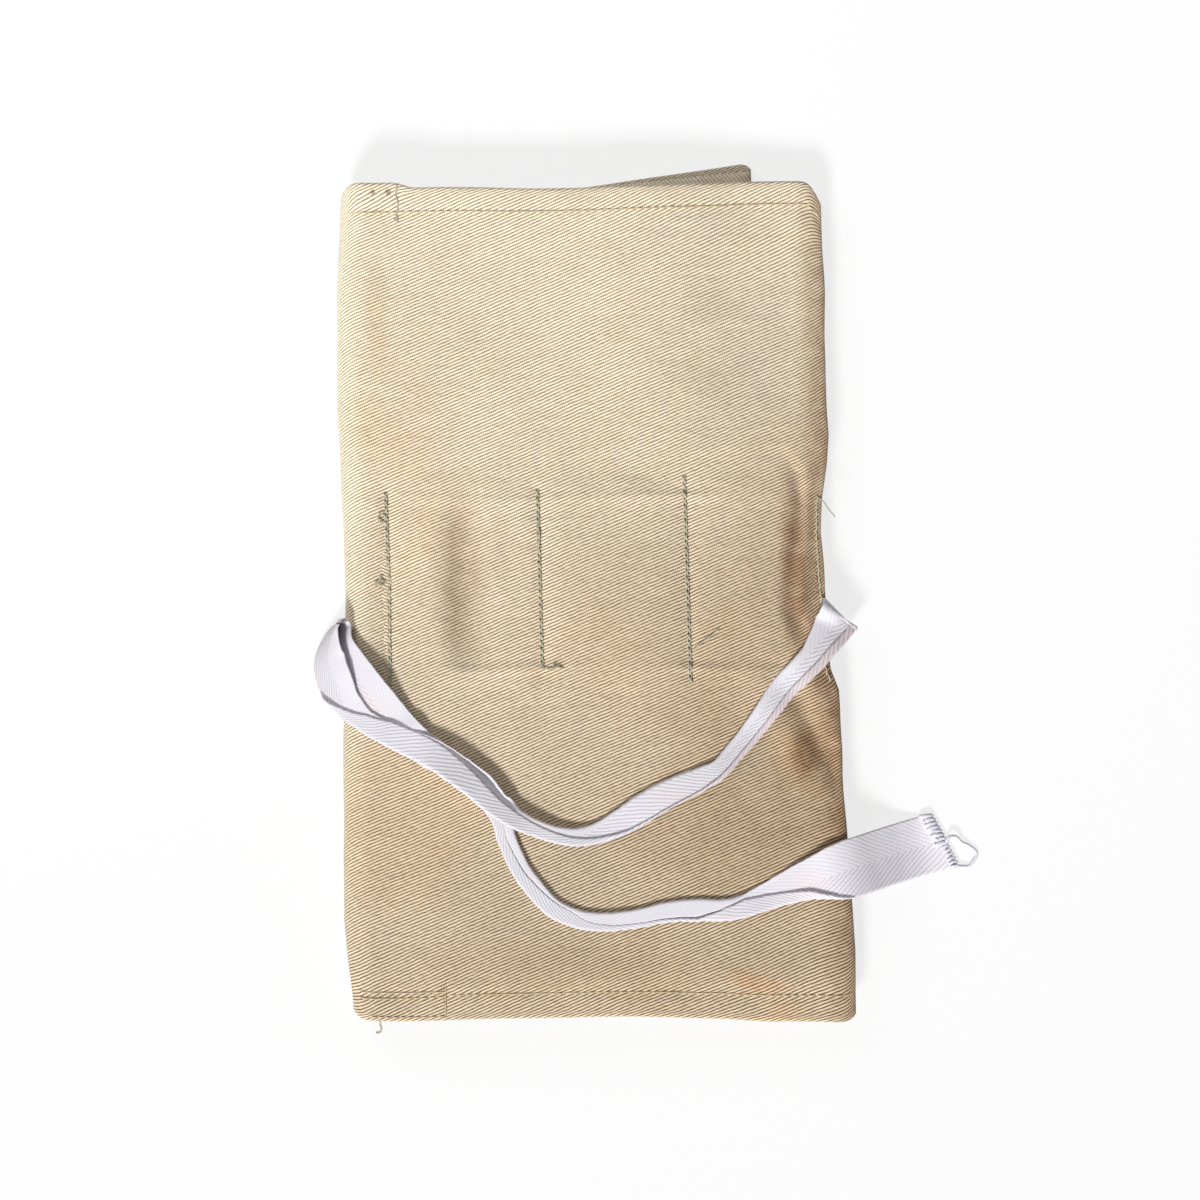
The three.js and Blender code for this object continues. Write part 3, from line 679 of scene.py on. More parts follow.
def swell(x, y):
    """Height of the front's folds and puckers over the flat cloth."""
    rise = ripples(x, y, *FRONT_RIPPLES)
    rise += LOOP_SWELL * loop_swell(x, LOOP_SWELL_POWER) * window(y, *LOOP_SPAN)
    drawn = window(y, *DRAWN_SPAN)
    for i, (row, draw) in enumerate(zip(ROWS, ROW_DRAW)):
        pucker = PUCKER_HEIGHT * np.sin(y * math.tau / PUCKER_PITCH + i) * hump(x, row, PUCKER_WIDTH)
        rise += (pucker - draw * forms(x - row, ROW_GROOVES)) * drawn
    for height, place, width, low, high, soft in UPRIGHT_FOLDS:
        rise += height * hump(x, place, width) * window(y, low, high, soft)
    rise += forms(x - outline(HOLLOW, y), HOLLOW_FORM) * window(y, *HOLLOW_SPAN)
    cross = (x - SLANT_POINT[0]) * SLANT_WAY[0] + (y - SLANT_POINT[1]) * SLANT_WAY[1]
    rise += forms(cross, SLANT_FORM) * window(y, *SLANT_SPAN)
    for height, place, slope, wave, rate, phase, width, left, right in PRESSED_EDGES:
        ridge = place + slope * x + wave * np.sin(x * rate + phase)
        rise += height * hump(y, ridge, width) * window(x, left, right, PRESSED_SOFT)
    for stitch, out, depth in HEMS:
        rise += HEM_SWELL * smooth(0, HEM_SWELL_RUN, (y - stitch) * out)
        rise -= depth * hump(y, stitch, HEM_GROOVE_WIDTH)
        rise += HEM_PUCKER * np.sin(x * math.tau / HEM_PUCKER_PITCH) * hump(y, stitch, HEM_PUCKER_WIDTH)
    return np.where(rise > 0, SWELL_LIMIT * np.tanh(rise / SWELL_LIMIT), rise) - SWELL_DROP


# How the front sinks towards the right fold, and how the last row draws that fold down
SIDE_SAG = 4.4
SIDE_SAG_RUN = (18, 80)
ROW_SAG = 1.5
ROW_SAG_RUN = (60, 76)
ROW_SAG_SPAN = (-22, 38, 10)
SAG_POWER = 1.45  # the fold's crest sinks less than its top


def side_sag(x):
    return SIDE_SAG * smooth(*SIDE_SAG_RUN, x)


def row_sag(x, y):
    return ROW_SAG * smooth(*ROW_SAG_RUN, x) * window(y, *ROW_SAG_SPAN)


def front_rise(x, y):
    return swell(x, y) - side_sag(x) - row_sag(x, y)


# How the hems stray from straight lines: amount and the stretch over which it comes in
EDGE_REACH = 30.0  # how far in from the edge the cloth follows
RAISED_CORNER = (1.8, -55, -63)
TOP_RISE = (2.4, 0, 57)
BOTTOM_DROP = (-1.3, 36, 56)
BOTTOM_BULGE = ((0.6, -11, 20),)  # height, place and half width
TOP_WAVER = ((0.25, 9, 0),)  # height, length and phase
BOTTOM_WAVER = ((0.5, 31, 1), (0.25, 8, 0))
# Rounding of the cloth's corners: amount, reach and power
TOP_LEFT = (3.4, LEFT_RADIUS, 4)
TOP_RIGHT = (6.6, RIGHT_RADIUS + 4.5, 3)
TOP_END = (2.0, 3.5, 2)
BOTTOM_LEFT = (2.2, LEFT_RADIUS, 5)
BOTTOM_RIGHT = (2.5, RIGHT_RADIUS + 4.5, 5)


def rounded(distance, corner):
    amount, reach, power = corner
    return amount * np.clip(1 - distance / reach, 0, 1) ** power


def ramp(x, form):
    amount, low, high = form
    return amount * smooth(low, high, x)


def waver(x, table):
    return sum(height * np.sin(x / length + phase) for height, length, phase in table)


def edge_shift(s, y):
    """Moves the cloth's hems a little, so that they waver and their corners round off."""
    x = section(s)[0]
    near_top = smooth(TOP_EDGE - EDGE_REACH, TOP_EDGE, y)
    near_bottom = smooth(BOTTOM_EDGE + EDGE_REACH, BOTTOM_EDGE, y)
    from_left = x - LEFT_CREST
    from_right = RIGHT_CREST - x
    top = ramp(x, RAISED_CORNER) * smooth(TOP_STITCH, TOP_EDGE, y) + ramp(x, TOP_RISE) + waver(x, TOP_WAVER)
    top = top - rounded(from_left, TOP_LEFT) - rounded(from_right, TOP_RIGHT) - rounded(s, TOP_END)
    bottom = waver(x, BOTTOM_WAVER) + forms(x, BOTTOM_BULGE) + ramp(x, BOTTOM_DROP)
    bottom = bottom + rounded(from_left, BOTTOM_LEFT) + rounded(from_right, BOTTOM_RIGHT)
    return near_top * top + near_bottom * bottom


def flap_rise(x):
    """How far the outer flap's free corner lies above the top edge."""
    return CORNER_RISE * np.clip(1 - (POCKET_END - x) / CORNER_RUN, 0, None)


FLAT_MARGIN = 4.0  # the outer flap lies flat up to this close to the left fold
FRONT_SPAN = (S_LEFT - 8, S_CENTRE + 5, 5.0)  # the front's relief fades out over the folds


def cloth(s, y, depth=0.0):
    """A point of the main cloth: place along it, height along y, depth under its outer face."""
    s, y = np.broadcast_arrays(np.asarray(s, float), np.asarray(y, float))
    x, z, nx, nz = section(s)
    flat_x = LEFT_START + s - S_LEFT
    on_front = window(s, *FRONT_SPAN)
    puff = swell(flat_x, y) * on_front + ripples(flat_x, y, OTHER_RIPPLES) * (1 - on_front)
    inward = depth - puff * np.where(s < S_POCKET - FLAT_MARGIN, 0.0, 1.0)
    y_now = y + edge_shift(s, y) + np.where(s < S_POCKET, flap_rise(x), 0.0)
    height = np.clip((z - COVER_Z) / (CENTRE_TOP_Z - COVER_Z), 0, 1) ** SAG_POWER
    over_fold = np.clip((z - RIGHT_FOLD_Z) / RIGHT_RADIUS, 0, 1)
    sunk = np.where(s > S_LEFT, side_sag(x) * height + row_sag(x, y) * over_fold, 0.0)
    return np.stack([lean(x - nx * inward, y), y_now, z - nz * inward - sunk], axis=-1)


HEM_STEP = 1.2
TURN_STEPS = 7
ALONG_STEP = 1.0
CREST_STEP = 0.2  # finer rows just past the right fold's crest, where the cloth turns when opened
CREST_RUN = 2.0


def hem_stations(edge, inner):
    """Stations of a turned hem, from its raw edge to the outer face: y, depth and unrolled place."""
    rows = []
    for gap in np.arange(HEM_WIDTH, HEM_TURN, -HEM_STEP):
        rows.append((edge + inner * gap, 2 * HEM_TURN, edge - inner * (gap + 2 * HEM_TURN)))
    for angle in np.linspace(-math.pi / 2, math.pi / 2, TURN_STEPS):
        y = edge + inner * HEM_TURN * (1 - math.cos(angle))
        rows.append((y, HEM_TURN * (1 - math.sin(angle)), edge - inner * (HEM_TURN - angle)))
    return rows


def main_cloth(name, start, end):
    """A stretch of the main cloth with its turned hems."""
    inner = np.linspace(BOTTOM_EDGE + HEM_TURN, TOP_EDGE - HEM_TURN, int((TOP_EDGE - BOTTOM_EDGE) / GRID))
    stations = hem_stations(BOTTOM_EDGE, 1)
    stations += [(y, 0.0, y) for y in inner[1:-1]]
    stations += hem_stations(TOP_EDGE, -1)[::-1]
    y, depth, unrolled = np.array(stations).T[:, None, :]
    along = np.linspace(start, end, int((end - start) / ALONG_STEP))
    close = np.arange(S_CREST, S_CREST + CREST_RUN, CREST_STEP)
    along = np.unique(np.concatenate([along, close[(close > start) & (close < end)]]))
    s = along[:, None]
    uvs = np.stack(np.broadcast_arrays(LEFT_START + s - S_LEFT, unrolled), axis=-1)
    return sheet_object(name, cloth(s, y, depth), uvs, CLOTH, canvas, canvas_inside)


outer_cloth = main_cloth("outer_cloth", 0.0, S_CREST)
cover_cloth = main_cloth("cover_cloth", S_CREST, S_END)


def inner_sheet(name, x, y, z, thickness, face, back=None, rise=0.0):
    """A cloth inside the bundle, from its flat places and their heights."""
    points = np.stack([lean(x, y), y + rise, z], axis=-1)
    return sheet_object(name, points, np.stack([x, y], axis=-1), thickness, face, back)


# Pocket: an inner cloth sewn to the outer flap on three sides

POCKET_Z = 4.3
POCKET_GRID = (92, 190)
POCKET_LOFT = 2.0
LOFT_FROM_SIDE = (4, 30)
LOFT_FROM_END = (4, 26)
POCKET_INSET = 0.6
POCKET_GROOVE = 0.4
POCKET_GROOVE_WIDTH = 1.2
POCKET_EDGE_DROP = 0.9
POCKET_EDGE_RUN = 2.5
POCKET_RIPPLES = ((0.14, 28, 8, 21), (0.08, 11, 8, 22))


def pocket_cloth():
    x, y = patch(POCKET_MOUTH, POCKET_END, BOTTOM_EDGE + POCKET_INSET, TOP_EDGE - POCKET_INSET, POCKET_GRID)
    to_side = np.minimum(TOP_EDGE - y, y - BOTTOM_EDGE)
    to_end = POCKET_END - x
    z = POCKET_Z + POCKET_LOFT * smooth(*LOFT_FROM_SIDE, to_side) * smooth(*LOFT_FROM_END, to_end)
    z += ripples(x, y, *POCKET_RIPPLES)
    for gap in (to_side, to_end):
        z -= POCKET_GROOVE * hump(gap, HEM_STITCH, POCKET_GROOVE_WIDTH)
        z -= POCKET_EDGE_DROP * smooth(POCKET_EDGE_RUN, 0.0, gap)
    return inner_sheet("pocket_cloth", x, y, z, CLOTH, canvas_inside, canvas, flap_rise(x))


pocket_front = pocket_cloth()


# Turned hems at the pocket's mouth and at the cover flap's end

HEM_OVERHANG = 0.4
STRIP_GRID = (14, 150)
STRIP_WIDTH = 9.0
STRIP_RISE = 0.5
STRIP_SOFT = 1.2
STRIP_RIPPLES = (0.08, 18, 6, 31)


def hem_strip(name, start, end_gap, height):
    """A flat strip with soft edges on an inner face: its left edge, gap to the cloth's ends and height."""
    left = start - HEM_OVERHANG
    right = left + STRIP_WIDTH
    low = BOTTOM_EDGE + end_gap
    high = TOP_EDGE - end_gap
    x, y = patch(left, right, low, high, STRIP_GRID)
    edge = np.minimum(np.minimum(x - left, right - x), np.minimum(y - low, high - y))
    z = height + STRIP_RISE * smooth(0, STRIP_SOFT, edge) + ripples(x, y, STRIP_RIPPLES)
    return inner_sheet(name, x, y, z, BAND_CLOTH, canvas)


mouth_hem = hem_strip("pocket_mouth_hem_cloth", start=POCKET_MOUTH, end_gap=9.0, height=6.9)
cover_hem = hem_strip("cover_end_hem_cloth", start=COVER_END, end_gap=10.0, height=COVER_Z + 1.7)


# Loop band: three loops, sewn down at the four rows

LOOP_GRID = (130, 54)
LOOP_DEPTH = 5.0
LOOP_POWER = 0.55
LOOP_MOST = 5.4  # no loop hangs lower than this
LOOP_GAP = 1.1  # between the front cloth and the band
LOOP_OVER_COVER = 2.5
LOOP_RIPPLES = (0.12, 16, 7, 41)
LOOP_HEM = (0.35, 4.5, 3.5)  # its turned edge: height, and where it begins and is full
LOOP_HEM_GROOVE = ((0.2, 3.6, 0.8),)
LOOP_ENDS = (2.5, 1.0)  # how far the band goes past the first row and stops short of the last


def loop_band():
    x, y = patch(ROWS[0] - LOOP_ENDS[0], ROWS[-1] - LOOP_ENDS[1], LOOP_BOTTOM, LOOP_TOP, LOOP_GRID)
    drop = LOOP_DEPTH * loop_swell(x, LOOP_POWER) + ripples(x, y, LOOP_RIPPLES)
    end = np.minimum(y - LOOP_BOTTOM, LOOP_TOP - y)
    drop += ramp(end, LOOP_HEM) - forms(end, LOOP_HEM_GROOVE)
    z = CENTRE_TOP_Z - CLOTH - LOOP_GAP - np.clip(drop, 0, LOOP_MOST) - side_sag(x) - row_sag(x, y)
    z = np.maximum(z, COVER_Z + LOOP_OVER_COVER)
    points = np.stack([lean(x, y), y, z], axis=-1)
    uvs = np.stack([x, -y], axis=-1)
    return sheet_object("loop_band", points, uvs, BAND_CLOTH, canvas_inside, canvas, flip=True)


band = loop_band()


# Thread

TUBE_SIDES = 6
TUBE_SIDEWAYS = (0.3, 0.2, 0.93)  # a direction along which no thread runs


def curve_through(points, step):
    """Smooth samples through the stations, with the station number of each sample."""
    points = np.asarray(points, float)
    slope = np.gradient(points, axis=0)
    out, place = [], []
    for i, gap in enumerate(np.diff(points, axis=0)):
        count = max(2, int(np.linalg.norm(gap) / step))
        t = np.arange(count)[:, None] / count
        moved = gap * t ** 2 * (3 - 2 * t)
        bent = slope[i] * t * (1 - t) ** 2 - slope[i + 1] * t ** 2 * (1 - t)
        out.append(points[i] + moved + bent)
        place.append(i + t[:, 0])
    return np.vstack([*out, points[-1]]), np.concatenate([*place, [len(points) - 1]])


def tube(points, radius):
    """Rings of points round a line, as points, faces and uvs; its ends are closed."""
    line = np.asarray(points, float)
    sides = TUBE_SIDES
    ahead = directions(line)
    side = np.cross(ahead, TUBE_SIDEWAYS)
    side /= np.linalg.norm(side, axis=1)[:, None]
    up = np.cross(side, ahead)
    turn = np.linspace(0, math.tau, sides, endpoint=False)
    ring = side[:, None] * np.cos(turn)[None, :, None] + up[:, None] * np.sin(turn)[None, :, None]
    rings = line[:, None] + ring * radius
    uvs = np.stack(np.broadcast_arrays(turn[None] * radius, lengths(line)[:, None]), axis=-1)
    faces = grid_faces(len(line), sides, closed=True)
    faces.append(tuple(range(sides)))
    faces.append(tuple(range((len(line) - 1) * sides, len(line) * sides))[::-1])
    return rings.reshape(-1, 3), faces, uvs.reshape(-1, 2)


def join_tubes(name, lines, radius, material):
    """One piece from several lengths of thread; radius is one number or one for each length."""
    points, faces, uvs, count = [], [], [], 0
    for line, size in zip(lines, np.broadcast_to(radius, len(lines))):
        p, f, u = tube(line, size)
        faces += [tuple(i + count for i in face) for face in f]
        points.append(p)
        uvs.append(u)
        count += len(p)
    return mesh_object(name, np.concatenate(points), faces, np.concatenate(uvs), material)


def on_front(x, y, lift):
    """A point above the front face at flat-cloth place x, y."""
    return cloth(S_LEFT + x - LEFT_START, y, -lift)


def path_on_front(path):
    """Points in space for a list of flat-cloth places and heights over the cloth."""
    return [on_front(*spot) for spot in path]


def dress(made, body, slot, *nodes):
    """Attaches a piece to the body it moves with and hides the solids it stands for; slot is not used."""
    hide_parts(*nodes)
    if body:
        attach(made, body)


# Rows of lock stitches on the front

STITCH_STEPS = np.linspace(-0.06, 1.06, 7)  # samples along a stitch; its ends lie beyond its pitch
STITCH_RISE = 0.24
STITCH_DIP = 0.35  # how deep its ends go in
STITCH_JOG = 0.06
SLANT_SHARE = 0.9
END_STEP = 0.4
SEED_RATE = 7
LOOP_STITCH = {"thread": khaki_thread, "pitch": 2.3, "reach": 0.5, "lift": 0.26, "radius": 0.24}
HEM_STITCHES = {"thread": fine_thread, "pitch": 2.6, "reach": 0.2, "lift": 0.02, "radius": 0.19}


def stitch_row(name, start, end, ends, twin, thread, pitch, reach, lift, radius):
    """Stitches between two flat-cloth places: two crossing threads, or one that slants."""
    dice = np.random.default_rng(len(name) * SEED_RATE)
    run = math.dist(start, end)
    upright = abs(end[1] - start[1]) > abs(end[0] - start[0])
    t = STITCH_STEPS
    height = lift + STITCH_RISE * np.sin(math.pi * np.clip(t, 0, 1)) - STITCH_DIP * ((t < 0) | (t > 1))
    crossing = reach * np.cos(math.pi * t)
    offsets = (-crossing, crossing) if twin else (SLANT_SHARE * reach * (t - 0.5),)
    lines = []
    for i in range(int(run / pitch)):
        jog = dice.uniform(-STITCH_JOG, STITCH_JOG, 2)[0]
        share = (i + t) * pitch / run
        x = start[0] + (end[0] - start[0]) * share
        y = start[1] + (end[1] - start[1]) * share
        for offset in offsets:
            aside = offset + jog
            lines.append(on_front(x + aside, y, height) if upright else on_front(x, y + aside, height))
    lines += [curve_through(line, END_STEP)[0] for line in ends]
    return join_tubes(name, lines, radius, thread)


# The four rows through the loops: lower and upper end of each, and their loose ends
ROW_LEAN = -0.4
ROW_SPANS = ((-29.4, 34.5), (-24.0, 35.0), (-28.7, 38.3), (-28.0, 33.5))
ROW_ENDS = (
    (
        ((-66.4, 24.0, 0.2), (-67.4, 25.6, 0.7), (-68.9, 25.3, 0.9), (-68.9, 23.6, 0.9),
         (-67.6, 22.9, 0.7), (-66.3, 23.4, 0.2)),
        ((-66.2, 3.4, 0.2), (-68.0, 4.0, 0.8), (-69.8, 3.9, 0.8), (-70.9, 3.1, 0.6),
         (-69.6, 2.7, 0.8), (-67.6, 3.0, 0.7)),
        ((-69.6, 3.9, 0.6), (-69.0, 5.2, 0.7), (-68.2, 5.6, 0.4)),
    ),
    (
        ((-17.2, -23.9, 0.3), (-14.6, -24.2, 0.7), (-12.0, -23.6, 0.6), (-10.2, -23.9, 0.3)),
        ((-13.6, -24.0, 0.4), (-13.2, -22.6, 0.5), (-12.4, -22.2, 0.3)),
        ((-17.4, 22.2, 0.5), (-16.9, 18.6, 0.9), (-17.5, 14.2, 0.5)),
    ),
    (((32.2, -17.8, 0.3), (34.6, -15.6, 0.4), (37.6, -13.4, 0.4), (40.2, -11.2, 0.3)),),
    (),
)
# The last row's end hangs free over the right fold: where it leaves the cloth, and its way from there
HANGING_FROM = (78.2, 31.0, 0.3)
HANGING_WAY = ((0, 0, 0), (1.2, -0.8, 0.2), (3.0, -3.4, 0), (5.2, -6.0, -0.4))

for i, (x, (low, high)) in enumerate(zip(ROWS, ROW_SPANS)):
    last = i == len(ROWS) - 1
    ends = [path_on_front(path) for path in ROW_ENDS[i]]
    if last:
        ends.append(on_front(*HANGING_FROM) + np.array(HANGING_WAY))
    row = stitch_row(f"loop_stitches_{i + 1}", (x, low), (x + ROW_LEAN, high), ends, not last, **LOOP_STITCH)
    dress(row, "centre_panel", "thread", f"loop_stitching_{i + 1}")

# The hems' rows: name, left end, right end, height and how much higher the right end lies
HEM_ROWS = (("top_hem", -77, 80, TOP_STITCH, 0.942), ("bottom_hem", -49, 80, BOTTOM_STITCH, 0.387))
for name, left, right, y, rise in HEM_ROWS:
    row = stitch_row(f"{name}_stitches", (left, y), (right, y + rise), (), False, **HEM_STITCHES)
    dress(row, "centre_panel", "thread", f"{name}_stitching")


# Tape: one length of flat tape, folded along itself where it lies on the cloth.
# Each station: x, y, z, breadth as it lies, width of the flap on the left and on the right of
# its run, how far each is folded over (degrees), and the way its folds open.

UP = (0.0, 0.0, 1.0)
DOWN = (0.0, 0.0, -1.0)
UNDER = -181
SEAM = 184
FLAT = (TAPE_WIDTH, 0, 0, 0, 0, DOWN)
SEAMED = (SEAM, UNDER, UP)
TUCKED = (UNDER, UNDER, DOWN)
LAID = CENTRE_TOP_Z + 0.6
OVER = CENTRE_TOP_Z + 3.1
TAPE_STATIONS = (
    (45.9, -5.0, 3.3, *FLAT),
    (53.0, -6.4, 3.3, *FLAT),
    (60.0, -11.4, 3.3, *FLAT),
    (66.6, -15.4, 3.4, *FLAT),
    (72.2, -14.2, 3.8, 17.2, 1.4, 0.4, SEAM, UNDER, (0.1, 0.1, -1)),
    (76.8, -9.3, 5.4, 15.6, 2.4, 1.0, SEAM, UNDER, (0.45, 0.45, -0.8)),
    (79.5, -6.9, 8.2, 15.6, 2.6, 0.8, SEAM, UNDER, (0.72, 0.7, -0.2)),
    (80.0, -6.7, 11.4, 15.6, 2.7, 0.7, SEAM, UNDER, (0.7, 0.68, 0.2)),
    (79.4, -7.9, 14.2, 14.6, 2.8, 1.6, SEAM, UNDER, (0.58, 0.54, 0.6)),
    (77.8, -10.8, 16.4, 13.2, 2.8, 3.0, SEAM, UNDER, (0.34, 0.3, 0.88)),
    (75.0, -15.0, LAID + 0.9, 11.2, 2.9, 4.9, SEAM, UNDER, (0.1, 0.1, 1)),
    (71.6, -19.9, LAID + 1.4, 9.4, 2.8, 6.4, *SEAMED),
    (66.6, -25.2, LAID + 1.2, 8.8, 2.7, 6.0, *SEAMED),
    (60.8, -31.4, LAID + 0.8, 8.6, 2.4, 5.8, *SEAMED),
    (55.8, -38.2, LAID + 0.7, 7.6, 2.0, 5.0, *SEAMED),
    (50.8, -44.8, LAID + 0.7, 6.8, 1.7, 4.6, *SEAMED),
    (45.6, -51.0, LAID + 0.7, 6.4, 1.5, 4.5, *SEAMED),
    (40.8, -56.4, LAID + 1.0, 6.4, 1.5, 5.2, *SEAMED),
    (35.2, -59.4, LAID + 0.8, 7.6, 0.8, 7.0, 165, UNDER, UP),
    (28.8, -62.2, LAID + 0.7, 8.6, 0.5, 8.2, 150, UNDER, UP),
    (21.8, -65.6, LAID + 0.7, 9.2, 0.5, 8.8, 150, UNDER, UP),
    (15.4, -69.4, LAID + 0.7, 9.4, 0.7, 8.8, 150, UNDER, UP),
    (8.8, -73.6, LAID + 0.7, 8.6, 1.0, 7.6, 160, UNDER, UP),
    (1.8, -76.9, LAID + 1.0, 6.8, 1.8, 5.0, *SEAMED),
    (-5.2, -78.3, LAID + 1.5, 5.8, 2.6, 3.4, *SEAMED),
    (-12.0, -77.5, LAID + 2.0, 5.4, 3.2, 2.4, *SEAMED),
    (-18.6, -75.3, LAID + 2.5, 5.6, 3.9, 1.4, *SEAMED),
    (-24.9, -72.4, LAID + 3.0, 6.4, 5.0, 0.5, SEAM, -90, (0.1, 0.15, 1)),
    (-30.9, -68.3, OVER + 0.9, 7.6, 5.8, 1.8, 172, 85, (0.22, 0.3, 0.9)),
    (-36.6, -63.0, OVER + 1.2, 9.2, 6.6, 2.6, 166, 80, (0.25, 0.4, 0.85)),
    (-43.0, -57.6, OVER + 1.0, 9.6, 8.0, 1.6, 174, 85, (0.2, 0.3, 0.9)),
    (-50.6, -52.2, OVER + 0.4, 9.6, 8.8, 0.6, 181, 110, (0.1, 0.15, 1)),
    (-58.2, -48.4, OVER - 0.1, 9.0, 8.8, 0.2, 182, 120, UP),
    (-66.4, -44.8, OVER - 0.8, 7.8, 7.8, 0, 182, 0, UP),
    (-73.8, -40.6, OVER - 1.7, 7.4, 5.6, 0, 180, 0, (-0.1, -0.1, 1)),
    (-79.4, -34.8, 16.3, 10.7, 2.4, 0, 172, 0, (-0.31, -0.35, 0.88)),
    (-83.3, -27.8, 14.4, 16.4, 0.3, 0, 60, 0, (-0.62, -0.27, 0.74)),
    (-85.5, -21.3, 12.2, 18.4, 0, 0, 0, 0, (-0.79, 0.04, 0.58)),
    (-84.9, -15.2, 11.4, 18.4, 0, 0, 0, 0, (-0.88, 0.23, 0.34)),
    (-83.0, -10.2, 11.4, 18, 0, 0, 0, 0, (-0.68, 0.7, 0.1)),
    (-81.6, -8.8, 11.4, 17.4, 0, 0, 0, 0, (0.0, 1.0, 0.1)),
    (-81.3, -11.6, 11.8, 12.4, 0, 0, 0, 0, (0.72, 0.34, -0.62)),
    (-80.7, -17.4, 14.6, 12.0, 0, 0, 0, 0, (0.58, 0.38, -0.74)),
    (-75.2, -26.2, 18.0, 11.4, 2.0, 0, 172, 0, (0.27, 0.21, -0.93)),
    (-68.4, -34.6, LAID + 1.0, 10.6, 4.0, 0, 176, 0, (0.12, 0.1, -0.98)),
    (-61.8, -42.6, LAID + 0.5, 10.4, 3.0, 0, 172, 0, DOWN),
    (-54.6, -49.4, LAID, 9.6, 0.2, 0.2, 20, -20, DOWN),
    (-48.0, -54.2, LAID, 8.0, 2.0, 2.0, -150, -150, DOWN),
    (-41.6, -59.4, LAID, 7.0, 4.4, 3.4, *TUCKED),
    (-35.2, -65.0, LAID, 6.6, 3.6, 3.4, *TUCKED),
    (-29.8, -72.2, LAID, 6.4, 3.4, 3.2, *TUCKED),
    (-27.9, -79.0, LAID, 6.2, 3.2, 3.0, *TUCKED),
    (-23.5, -88.6, LAID, 6.2, 3.6, 2.4, *TUCKED),
    (-19.2, -94.4, LAID, 6.4, 4.2, 2.0, *TUCKED),
    (-13.6, -100.6, LAID, 6.2, 5.0, 1.0, *TUCKED),
    (-7.6, -103.8, LAID, 6.0, 4.8, 1.2, *TUCKED),
    (-0.9, -105.5, LAID, 6.0, 2.8, 3.2, *TUCKED),
    (6.8, -105.6, LAID, 6.0, 1.8, 4.4, *TUCKED),
    (14.9, -104.5, LAID, 6.0, 1.6, 4.4, *TUCKED),
    (23.9, -102.6, LAID, 6.6, 1.2, 5.2, *TUCKED),
    (34.0, -101.9, LAID, 7.4, 1.0, 5.8, -160, UNDER, DOWN),
    (42.9, -101.9, LAID, 7.2, 4.4, 2.6, *TUCKED),
    (49.5, -100.4, LAID, 7.4, 5.6, 0.8, UNDER, -160, DOWN),
    (56.6, -97.5, LAID, 8.6, 4.6, 0.4, UNDER, -120, DOWN),
    (62.6, -95.0, LAID + 0.3, 10.4, 3.8, 0.2, UNDER, -60, DOWN),
    (69.5, -92.3, LAID + 0.8, 13.0, 2.8, 0, -168, 0, DOWN),
    (77.3, -90.2, LAID + 1.2, 17.4, 1.0, 0, -150, 0, DOWN),
    (82.6, -88.8, 14.0, TAPE_WIDTH, 0, 0, -60, 0, DOWN),
    (87.2, -87.6, 11.6, *FLAT),
    (91.6, -86.4, 8.8, *FLAT),
    (96.0, -85.2, 6.2, *FLAT),
    (100.6, -84.0, 3.7, *FLAT),
    (106.0, -82.6, 1.6, *FLAT),
    (110.0, -81.6, 0.9, *FLAT),
    (114.4, -80.4, 0.7, *FLAT),
)
TAPE_STEP = 1.1
TAPE_ACROSS = 33
FINER = 3  # finer steps across while the folds are laid out
TAPE_BEND = 1.2
END_SLANT = -0.25
END_SLANT_RUN = 16.0
# Where the stations are lifted with the front's relief, and where the tape is kept clear of it
LIFTED_SPAN = (-72, 80, 4.0)
LIFTED_Z = (10, 16)
CLEAR_SPAN = (-70, 74, 4.0)
CLEAR_Z = (11, 16)
CLEARANCE = 0.35
CLEAR_SPREAD = np.hanning(13)
CLEAR_GAIN = 1.6
TAPE_LOWEST = 0.5


def folded_section(breadth, left, right, left_fold, right_fold):
    """Across the tape: distance aside, height and place on the flat cloth."""
    w = np.linspace(-breadth / 2 - right, breadth / 2 + left, TAPE_ACROSS * FINER)
    edges = (breadth / 2 - TAPE_BEND / 2, breadth / 2 + TAPE_BEND / 2)
    turn = math.radians(left_fold) * smooth(*edges, w) - math.radians(right_fold) * smooth(*edges, -w)
    gap = np.gradient(w)
    u = np.cumsum(np.cos(turn) * gap)
    h = np.cumsum(np.sin(turn) * gap)
    middle = np.argmin(np.abs(w))
    pick = np.linspace(0, len(w) - 1, TAPE_ACROSS).astype(int)
    return (u - u[middle])[pick], (h - h[middle])[pick], (w - w[0])[pick] / (w[-1] - w[0]) * TAPE_WIDTH


